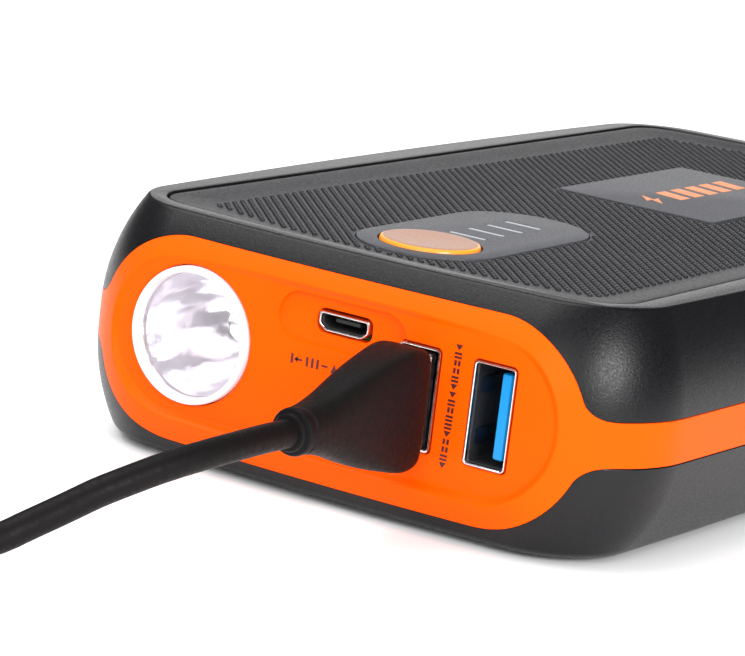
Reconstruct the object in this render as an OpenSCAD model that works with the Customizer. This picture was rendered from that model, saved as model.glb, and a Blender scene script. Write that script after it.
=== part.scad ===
// Jump starter pack: a power bank with a lamp, a charging inlet, two charging
// outlets, a jump lead socket and the charging cable that is plugged into it.
// X runs to the right, the front face looks towards -Y, +Z is up.
// The origin is at the bottom centre of the pack, on the surface it stands on.

/* [Body] */
// Width across the sides at the orange band
body_w = 89; // [80:1:100]
// Length from the front face to the rear face
body_l = 161; // [150:1:180]
// Height of the casing without its feet
body_h = 32; // [30:0.5:36]
// Corner radius in plan at the band
corner_r = 15.8; // [12:0.2:20]
// How far each side bows outwards in plan
side_bow = 1.9; // [0:0.1:3]
// How far each end bows outwards in plan
end_bow = 1.95; // [0:0.05:3]
// Wall thickness of the shells
wall = 2.2; // [1.6:0.1:2.6]
// Height of the rubber feet
feet_h = 0.6; // [0.4:0.1:1]

/* [Band and fascia] */
// Lower edge of the orange band
band_low = 13; // [11:0.5:14]
// Upper edge of the orange band
band_high = 18.7; // [17:0.1:20]
// Length of the orange racetrack on each end
race_l = 73.6; // [68:0.2:76]
// Height of the orange racetrack
race_h = 26.9; // [25:0.1:27]
// Length of the recessed panel inside the racetrack
face_l = 67.4; // [60:0.2:68]
// Height of the recessed panel
face_h = 21.2; // [19:0.2:22]
// Depth of the recessed panel
face_recess = 2.9; // [2.4:0.1:3]

/* [Top] */
// Width of the recess that holds the top panel
top_w = 71; // [66:0.2:74]
// Length of the recess that holds the top panel
top_l = 144; // [138:0.2:146]
// Radius of the power button
button_r = 6.7; // [5:0.1:7]
// Width of the plate around the button
plate_w = 19.6; // [18:0.2:22]
// Length of the plate around the button
plate_l = 42.4; // [40:0.2:46]

/* [Lamp and ports] */
// Radius of the lamp lens
lens_r = 9.1; // [8:0.05:9.2]
// Place of the lamp along the front
lamp_x = -21.4; // [-22:0.1:-20]
// Place of the left charging outlet
outlet_left_x = 13.05; // [13:0.05:15]
// Place of the right charging outlet
outlet_right_x = 24; // [23:0.1:26]
// Bore of each jump lead contact
jump_bore_d = 5; // [4:0.5:6]

/* [Cord] */
// Diameter of the charging cord
cord_d = 3.5; // [3:0.1:4]
// Mean radius of the coil that stores the rest of the cord
coil_r = 20; // [18:0.5:22]

/* [Hidden] */
$fn = 48;

half_w = body_w / 2;
half_l = body_l / 2;
black = "#1b1b1f";
orange = "#ff5a00";
steel = "#d8d4d2";

// Side profile: the walls stand upright at the band and lean in above and below
lean_high = 17;
lean_low = 14;
high_arc = 28.5;
low_arc = 22;
end_share_high = 1.31;
end_share_low = 0.7;
bottom_round = 1.2;
eps = 0.05;

// Heights inside the casing, measured from the bottom of the lower shell
floor_z = 2.4;
roof_z = 28.6;
recess_z = 30.4;
panel_top = 31.5;
recess_r = 6;
panel_gap = 0.3;
plate_top = 31.3;
race_z = 15.85;
face_z = 16.4;
face_y = half_l - face_recess;
face_back = face_y - wall;
fascia_back = 73;

button_y = -56.3;
bar_y = [-46.8, -41.9, -37, -32.1];
bar_l = 5.6;
outlet_w = 6;
outlet_h = 13.3;
outlet_z = 16.55;
outlet_deep = 15;
inlet_x = 1.3;
inlet_z = 23.05;
lamp_z = 16.8;
board_z = 8.2;
board_t = 1.6;
post_x = 34;
post_y = 60;
board_w = 60;
board_screw_x = 26;
board_screw_y = [-57, -38];
jump_pitch = 10;
jump_z = 16.4;
cell_w = 72;
cell_h = 6.4;
cell_y0 = -30;
cell_y1 = 53;
cell_z = [3.2, 9.9, 16.6];
cover_w = 30;
cover_h = 18;
cover_t = 1;
cover_inset = 0.4;
hinge_z = 7.6;
hinge_r = 0.4;

plug_z = 16.05;
grip_y = -80;
neck_y = -103.6;
cord_exit = [outlet_left_x, -105.8, 16.65];
coil_at = [-35, -144.5];
coil_half = 5.6;
coil_h = 10.1;

// Route of the cord from the collar, through the air and down to the coil
cord_route = [
    cord_exit, [13, -108.4, 16.65], [12.8, -111.4, 16.6], [12.55, -114.6, 16.45],
    [12.1, -118, 16.2], [11.4, -121.2, 15.8], [10.5, -124, 15.25], [9.5, -126.5, 14.6],
    [8.4, -128.8, 13.8], [7.25, -130.9, 12.95], [6.15, -132.8, 12.1], [5.05, -134.6, 11.1],
    [3.95, -136.4, 10.1], [2.8, -138.2, 9.1], [1.6, -140.1, 8.05], [0.3, -142.1, 6.95],
    [-3, -146, 5.1], [-7, -150, 3.3], [-11.5, -154, 2.1], [-16.3, -158, 1.8],
    [-21.5, -162, 1.8]
];
// Route of the cord's other end, off the top of the coil to the far plug
tail_route = [
    [-36, -162.6, 8.4], [-42, -161.1, 9.2], [-47.1, -157.5, 10.9],
    [-50.5, -152.4, 12.5], [-51.7, -147.5, 13.4], [-51.8, -143.5, 13.5]
];
far_plug_at = [-51.8, -143.5, 13.5];
far_plug_turn = -6;

lead_route = [
    [20, -37, 9.85], [20, -37, 16], [20, -36, 21], [20, -32, 24.4], [20, -27, 25.3],
    [20, 0, 25.3], [20, 30, 25.3], [19, 45, 25.3], [15, 53, 25.3], [10, 56.6, 24.2],
    [7, 57.9, 21.4], [5.4, 59, 18.4], [5, 61.1, 16.4]
];

// ---------- shared shapes ----------

function arc_points(x, y, r, from) =
    [for (i = [0 : 8]) [x + r * cos(from + 11.25 * i), y + r * sin(from + 11.25 * i)]];

function between(p, q, n) = [for (i = [1 : n]) p + (q - p) * i / (n + 1)];

// Rounded rectangle of half sizes w and l, anticlockwise from the front right corner
function plan(w, l, r) = concat(
    arc_points(w - r, r - l, r, -90), between([w, r - l], [w, l - r], 7),
    arc_points(w - r, l - r, r, 0), between([w - r, l], [r - w, l], 5),
    arc_points(r - w, l - r, r, 90), between([-w, l - r], [-w, r - l], 7),
    arc_points(r - w, r - l, r, 180), between([r - w, -l], [w - r, -l], 5)
);

function bowed(p, w, l) = [
    p[0] * (1 - side_bow / w * pow(p[1] / l, 2)),
    p[1] * (1 - end_bow / l * pow(p[0] / w, 2))
];

// How far the side wall has leaned in at height z
function lean(z) =
    z > lean_high ? high_arc - sqrt(pow(high_arc, 2) - pow(z - lean_high, 2)) :
    z < lean_low ? low_arc - sqrt(pow(low_arc, 2) - pow(lean_low - z, 2)) : 0;

function end_lean(z) = lean(z) * (z > lean_high ? end_share_high : end_share_low);

function rolled(z) = z < bottom_round ?
    bottom_round - sqrt(pow(bottom_round, 2) - pow(bottom_round - z, 2)) : 0;

function ring_at(z, off) =
    let (
        w = half_w - lean(z) - rolled(z) - off,
        l = half_l - end_lean(z) - rolled(z) - off,
        r = max(corner_r - 1.2 * lean(z) - off, 3)
    )
    [for (p = plan(w, l, r)) let (q = bowed(p, w, l)) [q[0], q[1], z]];

// Solid of the casing's outer shape, moved in by off, through the heights in levels
module barrel(off, levels) {
    n = len(plan(half_w, half_l, corner_r));
    top = len(levels) - 1;
    polyhedron(
        points = [for (z = levels) each ring_at(z, off)],
        faces = concat(
            [[for (i = [0 : n - 1]) i]],
            [[for (i = [0 : n - 1]) top * n + n - 1 - i]],
            [for (k = [0 : top - 1]) for (i = [0 : n - 1]) let (j = (i + 1) % n)
                each [[k * n + i, (k + 1) * n + i, (k + 1) * n + j],
                      [k * n + i, (k + 1) * n + j, k * n + j]]]
        ),
        convexity = 4
    );
}

module raise() translate([0, 0, feet_h]) children();

// Draws its children in the plane of the front or rear face: side is -1 or 1
module on_face(side, y0, y1) {
    translate([0, side > 0 ? y1 : -y0, 0]) rotate([90, 0, 0])
        linear_extrude(y1 - y0) children();
}

module stadium(l, h, z) {
    translate([0, z]) {
        square([l - h, h], center = true);
        for (s = [-1, 1]) translate([s * (l - h) / 2, 0]) circle(d = h);
    }
}

// The racetrack with the fillets that run out into the band
module race_outline(grow = 0) {
    offset(r = -4, $fn = 32) offset(delta = 4 + grow) {
        stadium(race_l, race_h, race_z, $fn = 64);
        translate([-half_w - 5, band_low]) square([body_w + 10, band_high - band_low]);
    }
}

module race_prisms(grow = 0) {
    for (side = [-1, 1]) on_face(side, fascia_back, half_l + 4) race_outline(grow);
}

module round_box(w, l, r, h) {
    linear_extrude(h) rounded(w, l, r);
}

module rounded(w, l, r) {
    square([w - 2 * r, l], center = true);
    square([w, l - 2 * r], center = true);
    for (x = [-1, 1], y = [-1, 1])
        translate([x * (w / 2 - r), y * (l / 2 - r)]) circle(r, $fn = 24);
}

module plate_outline(w, l) {
    translate([0, button_y - 9.7 + l / 2]) {
        square([w, l - w], center = true);
        for (s = [-1, 1]) translate([0, s * (l - w) / 2]) circle(d = w, $fn = 64);
    }
}

// Outline of the top recess, straight at the sides and bowed at the ends
module top_outline(grow) {
    polygon([for (p = plan(top_w / 2 + grow, top_l / 2 + grow, recess_r + grow))
        [p[0], p[1] * (1 - 2 * end_bow / top_l * pow(2 * p[0] / top_w, 2))]]);
}

module at_posts() {
    for (x = [-1, 1], y = [-1, 1]) translate([x * post_x, y * post_y, 0]) children();
}

module at_board_screws() {
    for (x = [-1, 1], y = board_screw_y) translate([x * board_screw_x, y, 0]) children();
}

// Frame of directions along a route, for a tube of sides flats
function unit(v) = v / norm(v);
function heading(r, i) = unit(r[min(i + 1, len(r) - 1)] - r[max(i - 1, 0)]);
function across(h) = unit(cross(h, abs(h[2]) > 0.9 ? [1, 0, 0] : [0, 0, 1]));
function tube_ring(c, h, r, sides) =
    let (a = across(h), b = cross(a, h))
    [for (i = [0 : sides - 1]) let (t = 360 * i / sides) c + r * (cos(t) * a + sin(t) * b)];

module tube(route, d, sides) {
    last = len(route) - 1;
    polyhedron(
        points = [for (k = [0 : last]) each
            tube_ring(route[k], heading(route, k), d / 2, sides)],
        faces = concat(
            [[for (i = [0 : sides - 1]) sides - 1 - i]],
            [[for (i = [0 : sides - 1]) last * sides + i]],
            [for (k = [0 : last - 1]) for (i = [0 : sides - 1]) let (j = (i + 1) % sides)
                each [[k * sides + i, k * sides + j, (k + 1) * sides + j],
                      [k * sides + i, (k + 1) * sides + j, (k + 1) * sides + i]]]
        )
    );
}

// ---------- casing ----------

module upper_shell() color(black) raise() {
    difference() {
        barrel(0, [band_high, 21, 23, 25, 27, 29, 30.5, body_h]);
        barrel(wall, [band_high - 1, 21, 24, roof_z]);
        race_prisms(0.1);
        translate([0, 0, recess_z]) linear_extrude(4) top_outline(0);
        translate([0, 0, roof_z - 1]) linear_extrude(6) plate_outline(plate_w - 3, plate_l - 3);
    }
    at_posts() difference() {
        translate([0, 0, band_high + 0.2]) cylinder(r = 3, h = roof_z + eps - band_high - 0.2);
        translate([0, 0, band_high]) cylinder(r = 1.05, h = 7);
    }
}

module mid_frame() color(orange) raise() difference() {
    union() {
        difference() {
            barrel(0, [band_low, lean_low, lean_high, band_high]);
            barrel(wall, [band_low - 1, lean_low, lean_high, band_high + 1]);
            for (side = [-1, 1]) on_face(side, 60, half_l + 4)
                square([2 * (half_w - corner_r), 90], center = true);
        }
        for (side = [-1, 1]) intersection() {
            barrel(0, [1, 2, 4, 7, 10, lean_low, lean_high, 20, 23, 26, 28, 29.6]);
            on_face(side, fascia_back, half_l + 4) intersection() {
                race_outline(-0.05);
                translate([0, race_z])
                    square([2 * (half_w - corner_r) + 12, race_h + 2], center = true);
            }
        }
    }
    for (side = [-1, 1]) {
        on_face(side, face_y, half_l + 6) stadium(face_l, face_h, face_z, $fn = 64);
        on_face(side, fascia_back - 1, face_back) stadium(face_l, face_h, face_z, $fn = 64);
    }
    front_holes();
    on_face(1, face_back - 1, face_y + 1) translate([0, jump_z]) rounded(24.6, 12.6, 3);
    on_face(1, face_y - cover_inset - 0.1, face_y + 1)
        translate([0, hinge_z + cover_h / 2]) rounded(cover_w + 0.6, cover_h + 0.6, 3.3);
}

module front_holes() {
    translate([lamp_x, 0, lamp_z]) rotate([90, 0, 0]) cylinder(r = lens_r + 0.1, h = half_l + 5);
    on_face(-1, face_back - 1, face_y + 1) {
        for (x = [outlet_left_x, outlet_right_x])
            translate([x, outlet_z]) rounded(outlet_w + 0.5, outlet_h + 0.5, 0.8);
        translate([inlet_x, inlet_z]) rounded(9.1, 3.5, 1.2);
    }
    on_face(-1, face_y - 0.6, face_y + 1) translate([inlet_x, inlet_z - 0.1])
        rounded(19, 6.2, 3);
}

module lower_shell() color(black) raise() {
    difference() {
        union() {
            difference() {
                barrel(0, [0, 0.25, 0.7, bottom_round, 3, 5.5, 8, 10.5, band_low]);
                barrel(wall, [floor_z, 5.5, 9, band_low + 1]);
            }
            at_posts() translate([0, 0, 1]) cylinder(r = 3, h = band_high - 0.9);
            at_board_screws() translate([0, 0, floor_z - 0.4]) cylinder(r = 2.2, h = board_z - floor_z + 0.35);
        }
        race_prisms(0.1);
        at_posts() {
            translate([0, 0, -1]) cylinder(r = 2.9, h = 3.4);
            cylinder(r = 1.3, h = 30);
        }
        at_board_screws() translate([0, 0, board_z - 4]) cylinder(r = 1.05, h = 6);
    }
}

module top_panel() color("#4a4a52") raise() translate([0, 0, recess_z]) difference() {
    linear_extrude(panel_top - recess_z) top_outline(-panel_gap);
    translate([0, 0, -1]) linear_extrude(4) plate_outline(plate_w + 0.2, plate_l + 0.2);
}

module button_plate() color("#77777f") raise() translate([0, 0, recess_z]) difference() {
    linear_extrude(plate_top - recess_z) plate_outline(plate_w, plate_l);
    translate([0, button_y, -1]) cylinder(r = button_r + 0.25, h = 4, $fn = 64);
    for (y = bar_y) translate([0, y, 0]) cube([bar_l + 0.2, 1.2, 4], center = true);
}

module charge_bars() color("#d4d4da") raise() {
    for (y = bar_y) translate([-bar_l / 2, y - 0.5, 26.4]) cube([bar_l, 1, plate_top - 26.35]);
}

module power_button() color(orange) raise() translate([0, button_y, 0]) {
    translate([0, 0, 30.2]) cylinder(r = button_r, h = 1.7, $fn = 64);
    translate([0, 0, 29.4]) cylinder(r = button_r + 0.8, h = 0.8);
    translate([0, 0, 27.3]) cylinder(r = 1.5, h = 2.1);
}

module tact_switch() color("#c9c9cc") raise() translate([0, button_y, 25]) {
    translate([-3, -3, 0]) cube([6, 6, 1]);
    translate([0, 0, 1]) cylinder(r = 1.6, h = 0.5);
}

module button_board() color("#0d5a2c") raise() translate([0, -45, 24])
    round_box(17, 37, 1, 1);

module charge_leds() color("#f2f2f2") raise() {
    for (y = bar_y) translate([-1, y - 0.4, 25]) cube([2, 0.8, 0.7]);
}

// ---------- lamp ----------

module facing(x, z) translate([x, 0, z + feet_h]) rotate([90, 0, 0]) children();

module lamp_lens() color("#eef0f4", 0.5) facing(lamp_x, lamp_z) rotate_extrude($fn = 64)
    polygon([[0, 76.6], [8.3, 76.6], [8.3, 75.3], [lens_r, 75.3], [lens_r, 77.9],
             [8.75, 78.3], [8.15, 78.3], [7.75, 77.9], [0, 78.1]]);

module lamp_reflector() color("#dfe3ea") facing(lamp_x, lamp_z) rotate_extrude($fn = 64)
    polygon([[2, 63.8], [3.2, 63.8], [5.4, 66.6], [7.4, 70.6], [8.2, 75.2], [9.6, 75.2],
             [9.6, 74.2], [8.9, 74.2], [8, 70.2], [6, 66], [4, 63.8], [4, 63.2], [2, 63.2]]);

module lamp_led() color("#fff6c8") facing(lamp_x, lamp_z) {
    translate([0, 0, 63.05]) cylinder(r = 1.7, h = 1);
    translate([0, 0, 64.05]) cylinder(r = 1.2, h = 0.6);
}

module lamp_board() color("#0d5a2c") facing(lamp_x, lamp_z)
    translate([0, 0, 61.4]) cylinder(r = 8.6, h = 1.6);

// ---------- ports ----------

module outlet_jack(x) color(steel) facing(x, outlet_z) difference() {
    translate([0, 0, face_y - outlet_deep]) linear_extrude(outlet_deep + 0.1)
        rounded(outlet_w, outlet_h, 0.6);
    translate([0, 0, face_y - outlet_deep + 1]) linear_extrude(outlet_deep)
        rounded(outlet_w - 0.6, outlet_h - 0.6, 0.35);
}
module outlet_jack_left() outlet_jack(outlet_left_x);
module outlet_jack_right() outlet_jack(outlet_right_x);

module outlet_tongue(x, shade) color(shade) facing(x, outlet_z)
    translate([0.4, -5.5, face_y - outlet_deep + 1]) cube([1.5, 11, outlet_deep - 2.2]);
module outlet_tongue_left() outlet_tongue(outlet_left_x, "#1682e0");
module outlet_tongue_right() outlet_tongue(outlet_right_x, "#1682e0");

module inlet_shape(grow) {
    polygon([[-2.8 - grow, -1.2 - grow], [2.8 + grow, -1.2 - grow], [3.7 + grow, -0.4],
             [3.7 + grow, 1.2 + grow], [-3.7 - grow, 1.2 + grow], [-3.7 - grow, -0.4]]);
}
module inlet_jack() color(steel) facing(inlet_x, inlet_z) mirror([0, 1, 0]) difference() {
    translate([0, 0, face_y - 6]) linear_extrude(5.6) inlet_shape(0);
    translate([0, 0, face_y - 5.4]) linear_extrude(6) inlet_shape(-0.25);
}
module inlet_tongue() color(black) facing(inlet_x, inlet_z)
    translate([-1.9, -0.1, face_y - 5.4]) cube([3.8, 0.6, 4]);

// ---------- electronics ----------

module inlet_board() color("#0d5a2c") raise() translate([-9, -75.2, 20.6]) cube([18, 20, 1.2]);

module main_board() color("#0d5a2c") raise() difference() {
    translate([0, -54, board_z]) round_box(board_w, 40, 1, board_t);
    translate([lamp_x - 8.4, -80, board_z - 1]) cube([16.8, 19.2, board_t + 2]);
    at_board_screws() cylinder(r = 1.3, h = 20);
}

module battery_cell(n) color("#b9bcc4") raise()
    translate([0, (cell_y0 + cell_y1) / 2, cell_z[n]])
        round_box(cell_w, cell_y1 - cell_y0, 2, cell_h);
module battery_cell_1() battery_cell(0);
module battery_cell_2() battery_cell(1);
module battery_cell_3() battery_cell(2);

module cell_foam() color("#30343c") raise() {
    for (z = [floor_z + 0.05, cell_z[1] - 0.28, cell_z[2] - 0.28])
        translate([-30, cell_y0 + 6, z]) cube([60, 71, z < 4 ? 0.7 : 0.26]);
}

module cell_tabs() color("#c6c8cc") raise() {
    for (k = [0 : 2], s = [-1, 1])
        translate([s * 9 - 4, cell_y0 - 2.6, cell_z[k] + 3]) cube([8, 2.55, 0.3]);
}

module jump_block() {
    linear_extrude(15.6) rounded(24, 12, 2.8);
}
module jump_socket() color("#2a2a30") facing(0, jump_z) mirror([0, 0, 1]) difference() {
    translate([0, 0, 61.3]) jump_block();
    for (s = [-1, 1]) translate([s * jump_pitch / 2, 0, 50]) cylinder(r = 3.2, h = 40);
}
module jump_contacts() color("#d9b25a") facing(0, jump_z) mirror([0, 0, 1]) {
    for (s = [-1, 1]) translate([s * jump_pitch / 2, 0, 0]) difference() {
        translate([0, 0, 62.5]) cylinder(r = 3.15, h = 14);
        translate([0, 0, 64.5]) cylinder(d = jump_bore_d, h = 20);
    }
}

module positive_lead() color("#c01818") raise() tube(lead_route, 3.8, 10);
module negative_lead() color("#222226") raise()
    tube([for (p = lead_route) [-p[0], p[1], p[2]]], 3.8, 10);

// ---------- cover, feet and fasteners ----------

module port_cover() color("#232327") raise() {
    back = face_y - cover_inset;
    on_face(1, back, back + cover_t) translate([0, hinge_z + cover_h / 2])
        rounded(cover_w, cover_h, 3);
    translate([-8, back + cover_t - eps, hinge_z + cover_h - 3]) cube([16, 0.4 + eps, 1.6]);
    translate([-12, back + cover_t, hinge_z]) rotate([0, 90, 0])
        cylinder(r = hinge_r, h = 24, $fn = 24);
}

module case_screws() color("#8c8f96") raise() at_posts() {
    translate([0, 0, 0.7]) cylinder(r = 2.6, h = 1.7);
    translate([0, 0, 2.3]) cylinder(r = 1.1, h = 20);
}

module board_screws() color("#8c8f96") raise() at_board_screws() {
    translate([0, 0, board_z + board_t]) cylinder(r = 2.2, h = 1.2);
    translate([0, 0, board_z - 3.6]) cylinder(r = 1, h = board_t + 3.7);
}

module rubber_feet() color("#111114") {
    for (x = [-1, 1], y = [-1, 1]) translate([x * 27, y * 50, 0]) cylinder(r = 5, h = feet_h);
}

// ---------- charging cable ----------

module plug_shell() color(steel) facing(outlet_left_x, outlet_z) difference() {
    translate([0, 0, 66.6]) linear_extrude(14.4) rounded(4.5, 12, 0.4);
    translate([0, 0, 65.6]) linear_extrude(15) rounded(3.9, 11.4, 0.2);
}

module plug_insert() color("#f3f3f3") facing(outlet_left_x, outlet_z)
    translate([-1.92, -5.65, 67]) cube([2.27, 11.3, 13]);

// Half height and half thickness of the grip at each distance from its face
grip_form = [[0, 6.7, 3.1], [0.7, 7.4, 3.6], [2.5, 7.9, 3.8], [7.3, 7.2, 3.8],
             [12.6, 5.95, 3.6], [17.7, 4.15, 3.2], [21, 3.2, 3], [23.6, 2.9, 2.8]];
function grip_ring(f) = [for (i = [0 : 19])
    let (t = 18 * i, c = cos(t), s = sin(t))
    [outlet_left_x + f[2] * sign(c) * pow(abs(c), 0.7),
     grip_y - f[0],
     plug_z + feet_h + f[1] * sign(s) * pow(abs(s), 0.7)]];

module loft(rings) {
    n = len(rings[0]);
    top = len(rings) - 1;
    polyhedron(
        points = [for (r = rings) each r],
        faces = concat(
            [[for (i = [0 : n - 1]) i]],
            [[for (i = [0 : n - 1]) top * n + n - 1 - i]],
            [for (k = [0 : top - 1]) for (i = [0 : n - 1]) let (j = (i + 1) % n)
                each [[k * n + i, (k + 1) * n + i, (k + 1) * n + j],
                      [k * n + i, (k + 1) * n + j, k * n + j]]]
        )
    );
}

module plug_grip() color(black) loft([for (f = grip_form) grip_ring(f)]);

module cord_collar() color(black)
    translate([outlet_left_x, neck_y, plug_z + feet_h]) rotate([90, 0, 0]) {
        cylinder(r = 2.95, h = 1.4);
        translate([0, 0, 1.4]) cylinder(r = 2.3, h = 0.8);
    }

module charge_cord() color(black) tube(cord_route, cord_d, 8);

module cord_coil() color(black) translate([coil_at[0], coil_at[1], 0])
    rotate_extrude() translate([coil_r - coil_half, 0]) polygon([
        [1.6, 0], [2 * coil_half - 1.6, 0], [2 * coil_half, coil_h * 0.4],
        [2 * coil_half, coil_h * 0.6], [2 * coil_half - 1.6, coil_h], [1.6, coil_h],
        [0, coil_h * 0.6], [0, coil_h * 0.4]]);

module cord_tail() color(black) tube(tail_route, cord_d, 8);

module cord_tie() color("#2c2c30") translate([coil_at[0] + coil_r, coil_at[1], 0])
    difference() {
        translate([-6.4, -2, 0]) cube([12.8, 4, coil_h + 0.8]);
        translate([-5.8, -3, 0.4]) cube([11.6, 6, coil_h]);
    }

module at_far_plug() translate(far_plug_at) rotate([0, 0, far_plug_turn])
    rotate([-90, 0, 0]) children();

module far_plug_grip() color(black) at_far_plug() {
    cylinder(r1 = 2.2, r2 = 2.6, h = 4.5, $fn = 24);
    translate([0, 0, 4.4]) linear_extrude(17) rounded(10.4, 6.6, 2);
}

module far_plug_tip() color(steel) at_far_plug()
    translate([0, 0, 21.4]) linear_extrude(5.6) inlet_shape(-0.3);

upper_shell();
mid_frame();
lower_shell();
top_panel();
button_plate();
charge_bars();
power_button();
tact_switch();
button_board();
charge_leds();
lamp_lens();
lamp_reflector();
lamp_led();
lamp_board();
outlet_jack_left();
outlet_tongue_left();
outlet_jack_right();
outlet_tongue_right();
inlet_jack();
inlet_tongue();
inlet_board();
main_board();
battery_cell_1();
battery_cell_2();
battery_cell_3();
cell_foam();
cell_tabs();
jump_socket();
jump_contacts();
positive_lead();
negative_lead();
port_cover();
case_screws();
board_screws();
rubber_feet();
plug_shell();
plug_insert();
plug_grip();
cord_collar();
charge_cord();
cord_coil();
cord_tail();
cord_tie();
far_plug_grip();
far_plug_tip();
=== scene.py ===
"""Jump starter pack: builds the pack's visible pieces on its CAD frame."""

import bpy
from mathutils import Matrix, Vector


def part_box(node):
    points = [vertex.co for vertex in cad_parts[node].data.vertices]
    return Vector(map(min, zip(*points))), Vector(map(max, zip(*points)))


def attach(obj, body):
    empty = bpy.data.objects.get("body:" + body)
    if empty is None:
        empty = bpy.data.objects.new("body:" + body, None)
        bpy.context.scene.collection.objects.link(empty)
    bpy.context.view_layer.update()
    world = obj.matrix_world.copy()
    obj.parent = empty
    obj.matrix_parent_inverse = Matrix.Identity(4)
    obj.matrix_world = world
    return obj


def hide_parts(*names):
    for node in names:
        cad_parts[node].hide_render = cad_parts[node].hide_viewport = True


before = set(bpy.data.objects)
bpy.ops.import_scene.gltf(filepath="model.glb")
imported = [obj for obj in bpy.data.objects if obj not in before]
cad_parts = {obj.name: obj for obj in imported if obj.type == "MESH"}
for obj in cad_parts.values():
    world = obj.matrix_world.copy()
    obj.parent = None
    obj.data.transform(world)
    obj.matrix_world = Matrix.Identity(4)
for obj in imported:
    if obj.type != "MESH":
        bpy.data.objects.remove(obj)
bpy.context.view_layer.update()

import math

import bmesh
import bpy
import numpy as np
from bpy.props import FloatProperty, FloatVectorProperty, IntProperty, PointerProperty
from mathutils import Matrix, Vector

bl_info = {
    "name": "Jump Starter Pack",
    "version": (1, 0, 0),
    "blender": (4, 5, 0),
    "location": "View3D > Sidebar > Pack",
    "description": "Builds a jump starter pack with its lamp, ports and charging cable",
    "category": "Add Mesh",
}

MM = 0.001
FEET = 0.6          # casing heights are counted from the top of the feet

# ---- casing form, in millimetres, heights from the bottom of the lower shell ----
HALF_W = 44.5
HALF_L = 80.5
CORNER_R = 15.8
SIDE_BOW = 1.9
END_BOW = 1.95
WALL = 2.2
LEAN_HIGH, HIGH_ARC, END_SHARE_HIGH = 17.0, 28.5, 1.31
LEAN_LOW, LOW_ARC, END_SHARE_LOW = 14.0, 22.0, 0.7
BOTTOM_ROUND = 1.2
BODY_H = 32.0
BAND = (13.0, 18.7)
RACE = (36.8, 13.45, 15.85)         # half length, half height, centre height
FACE = (33.7, 10.6, 16.4)
FACE_BACK = 75.4                    # rear of the wall behind the recessed face
END_CUT = (73, 96)                  # reach of the racetrack prisms along Y
FLARE_R = 4.0
FLOOR_Z, ROOF_Z = 2.4, 28.6
THROUGH = (29, 33)                  # heights that reach through the panel and the plate
RECESS_Z, PANEL_TOP = 30.4, 31.5
TOP_HALF_W, TOP_HALF_L, TOP_R = 35.5, 72.0, 6.0
SCREWS = [(x, y) for x in (-34, 34) for y in (-60, 60)]
FEET_AT = [(x, y) for x in (-27, 27) for y in (-50, 50)]

# Route of the cord from its collar to the coil, and from the coil to the far plug
CORD_ROUTE = (
    (13.05, -105.8, 16.65), (13, -108.4, 16.65), (12.8, -111.4, 16.6), (12.55, -114.6, 16.45),
    (12.1, -118, 16.2), (11.4, -121.2, 15.8), (10.5, -124, 15.25), (9.5, -126.5, 14.6),
    (8.4, -128.8, 13.8), (7.25, -130.9, 12.95), (6.15, -132.8, 12.1), (5.05, -134.6, 11.1),
    (3.95, -136.4, 10.1), (2.8, -138.2, 9.1), (1.6, -140.1, 8.05), (0.3, -142.1, 6.95),
    (-3, -146, 5.1), (-7, -150, 3.3), (-11.5, -154, 2.1), (-16.3, -158, 1.8),
)
TAIL_ROUTE = (
    (-42, -161.1, 9.2), (-47.1, -157.5, 10.9), (-50.5, -152.4, 12.5),
    (-51.7, -147.5, 13.4), (-51.8, -143.5, 13.5),
)
COIL_CENTRE = (-35.0, -144.5)
COIL_LANES = ((21.9, 1.75), (18.1, 1.75), (16.2, 5.05), (20, 5.05), (23.8, 5.05),
              (21.9, 8.35), (18.1, 8.35))
COIL_START, COIL_SWEEP = -52.4, 2200
LANE_STEP, LANE_FIRST, LANE_BLEND = 310, 330, 45     # degrees of turn between lane changes


# ---------------------------------------------------------------- settings

def length(name, text, millimetres):
    return FloatProperty(name=name, description=text, default=millimetres * MM,
                         min=0.0, unit="LENGTH", precision=5)


def colour(name, text, rgb):
    return FloatVectorProperty(name=name, description=text, default=rgb, size=3,
                               min=0.0, max=1.0, subtype="COLOR")


class PACK_PG_sizes(bpy.types.PropertyGroup):
    dot_pitch: length("Dot pitch", "Distance between raised dots in a row", 1.62)
    dot_row: length("Dot row", "Distance between rows of dots", 0.9)
    dot_base: length("Dot base", "Radius of a raised dot at its foot", 0.46)
    dot_top: length("Dot top", "Radius of a raised dot at its crown", 0.24)
    dot_height: length("Dot height", "Height of a raised dot", 0.28)
    dot_sides: IntProperty(name="Dot sides", description="Flats round a dot", default=6, min=4)
    seam_gap: length("Seam gap", "Gap between the shells and the frame", 0.14)
    cord_diameter: length("Cord diameter", "Diameter of the charging cord", 3.5)


class PACK_PG_colours(bpy.types.PropertyGroup):
    shell: colour("Casing", "Black halves of the casing", (0.0035, 0.0035, 0.0045))
    frame_orange: colour("Frame", "Orange frame and fascia", (1.0, 0.088, 0.0))
    panel: colour("Top panel", "Panel with raised dots", (0.011, 0.011, 0.014))
    plate: colour("Plate", "Plate round the button and the label pad", (0.05, 0.051, 0.06))
    button: colour("Button", "Sides of the power button", (1.0, 0.3, 0.02))
    crown: colour("Button crown", "Top of the power button", (0.3, 0.15, 0.095))
    rubber: colour("Cable", "Cord and grip rubber", (0.004, 0.003, 0.003))
    tongue: colour("Tongue", "Outlet contact carrier", (0.0, 0.3, 0.75))


# ---------------------------------------------------------------- materials

def node(tree, kind, **values):
    """New node with its inputs set by name."""
    made = tree.nodes.new(kind)
    for key, value in values.items():
        made.inputs[key.replace("_", " ")].default_value = value
    return made


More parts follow.
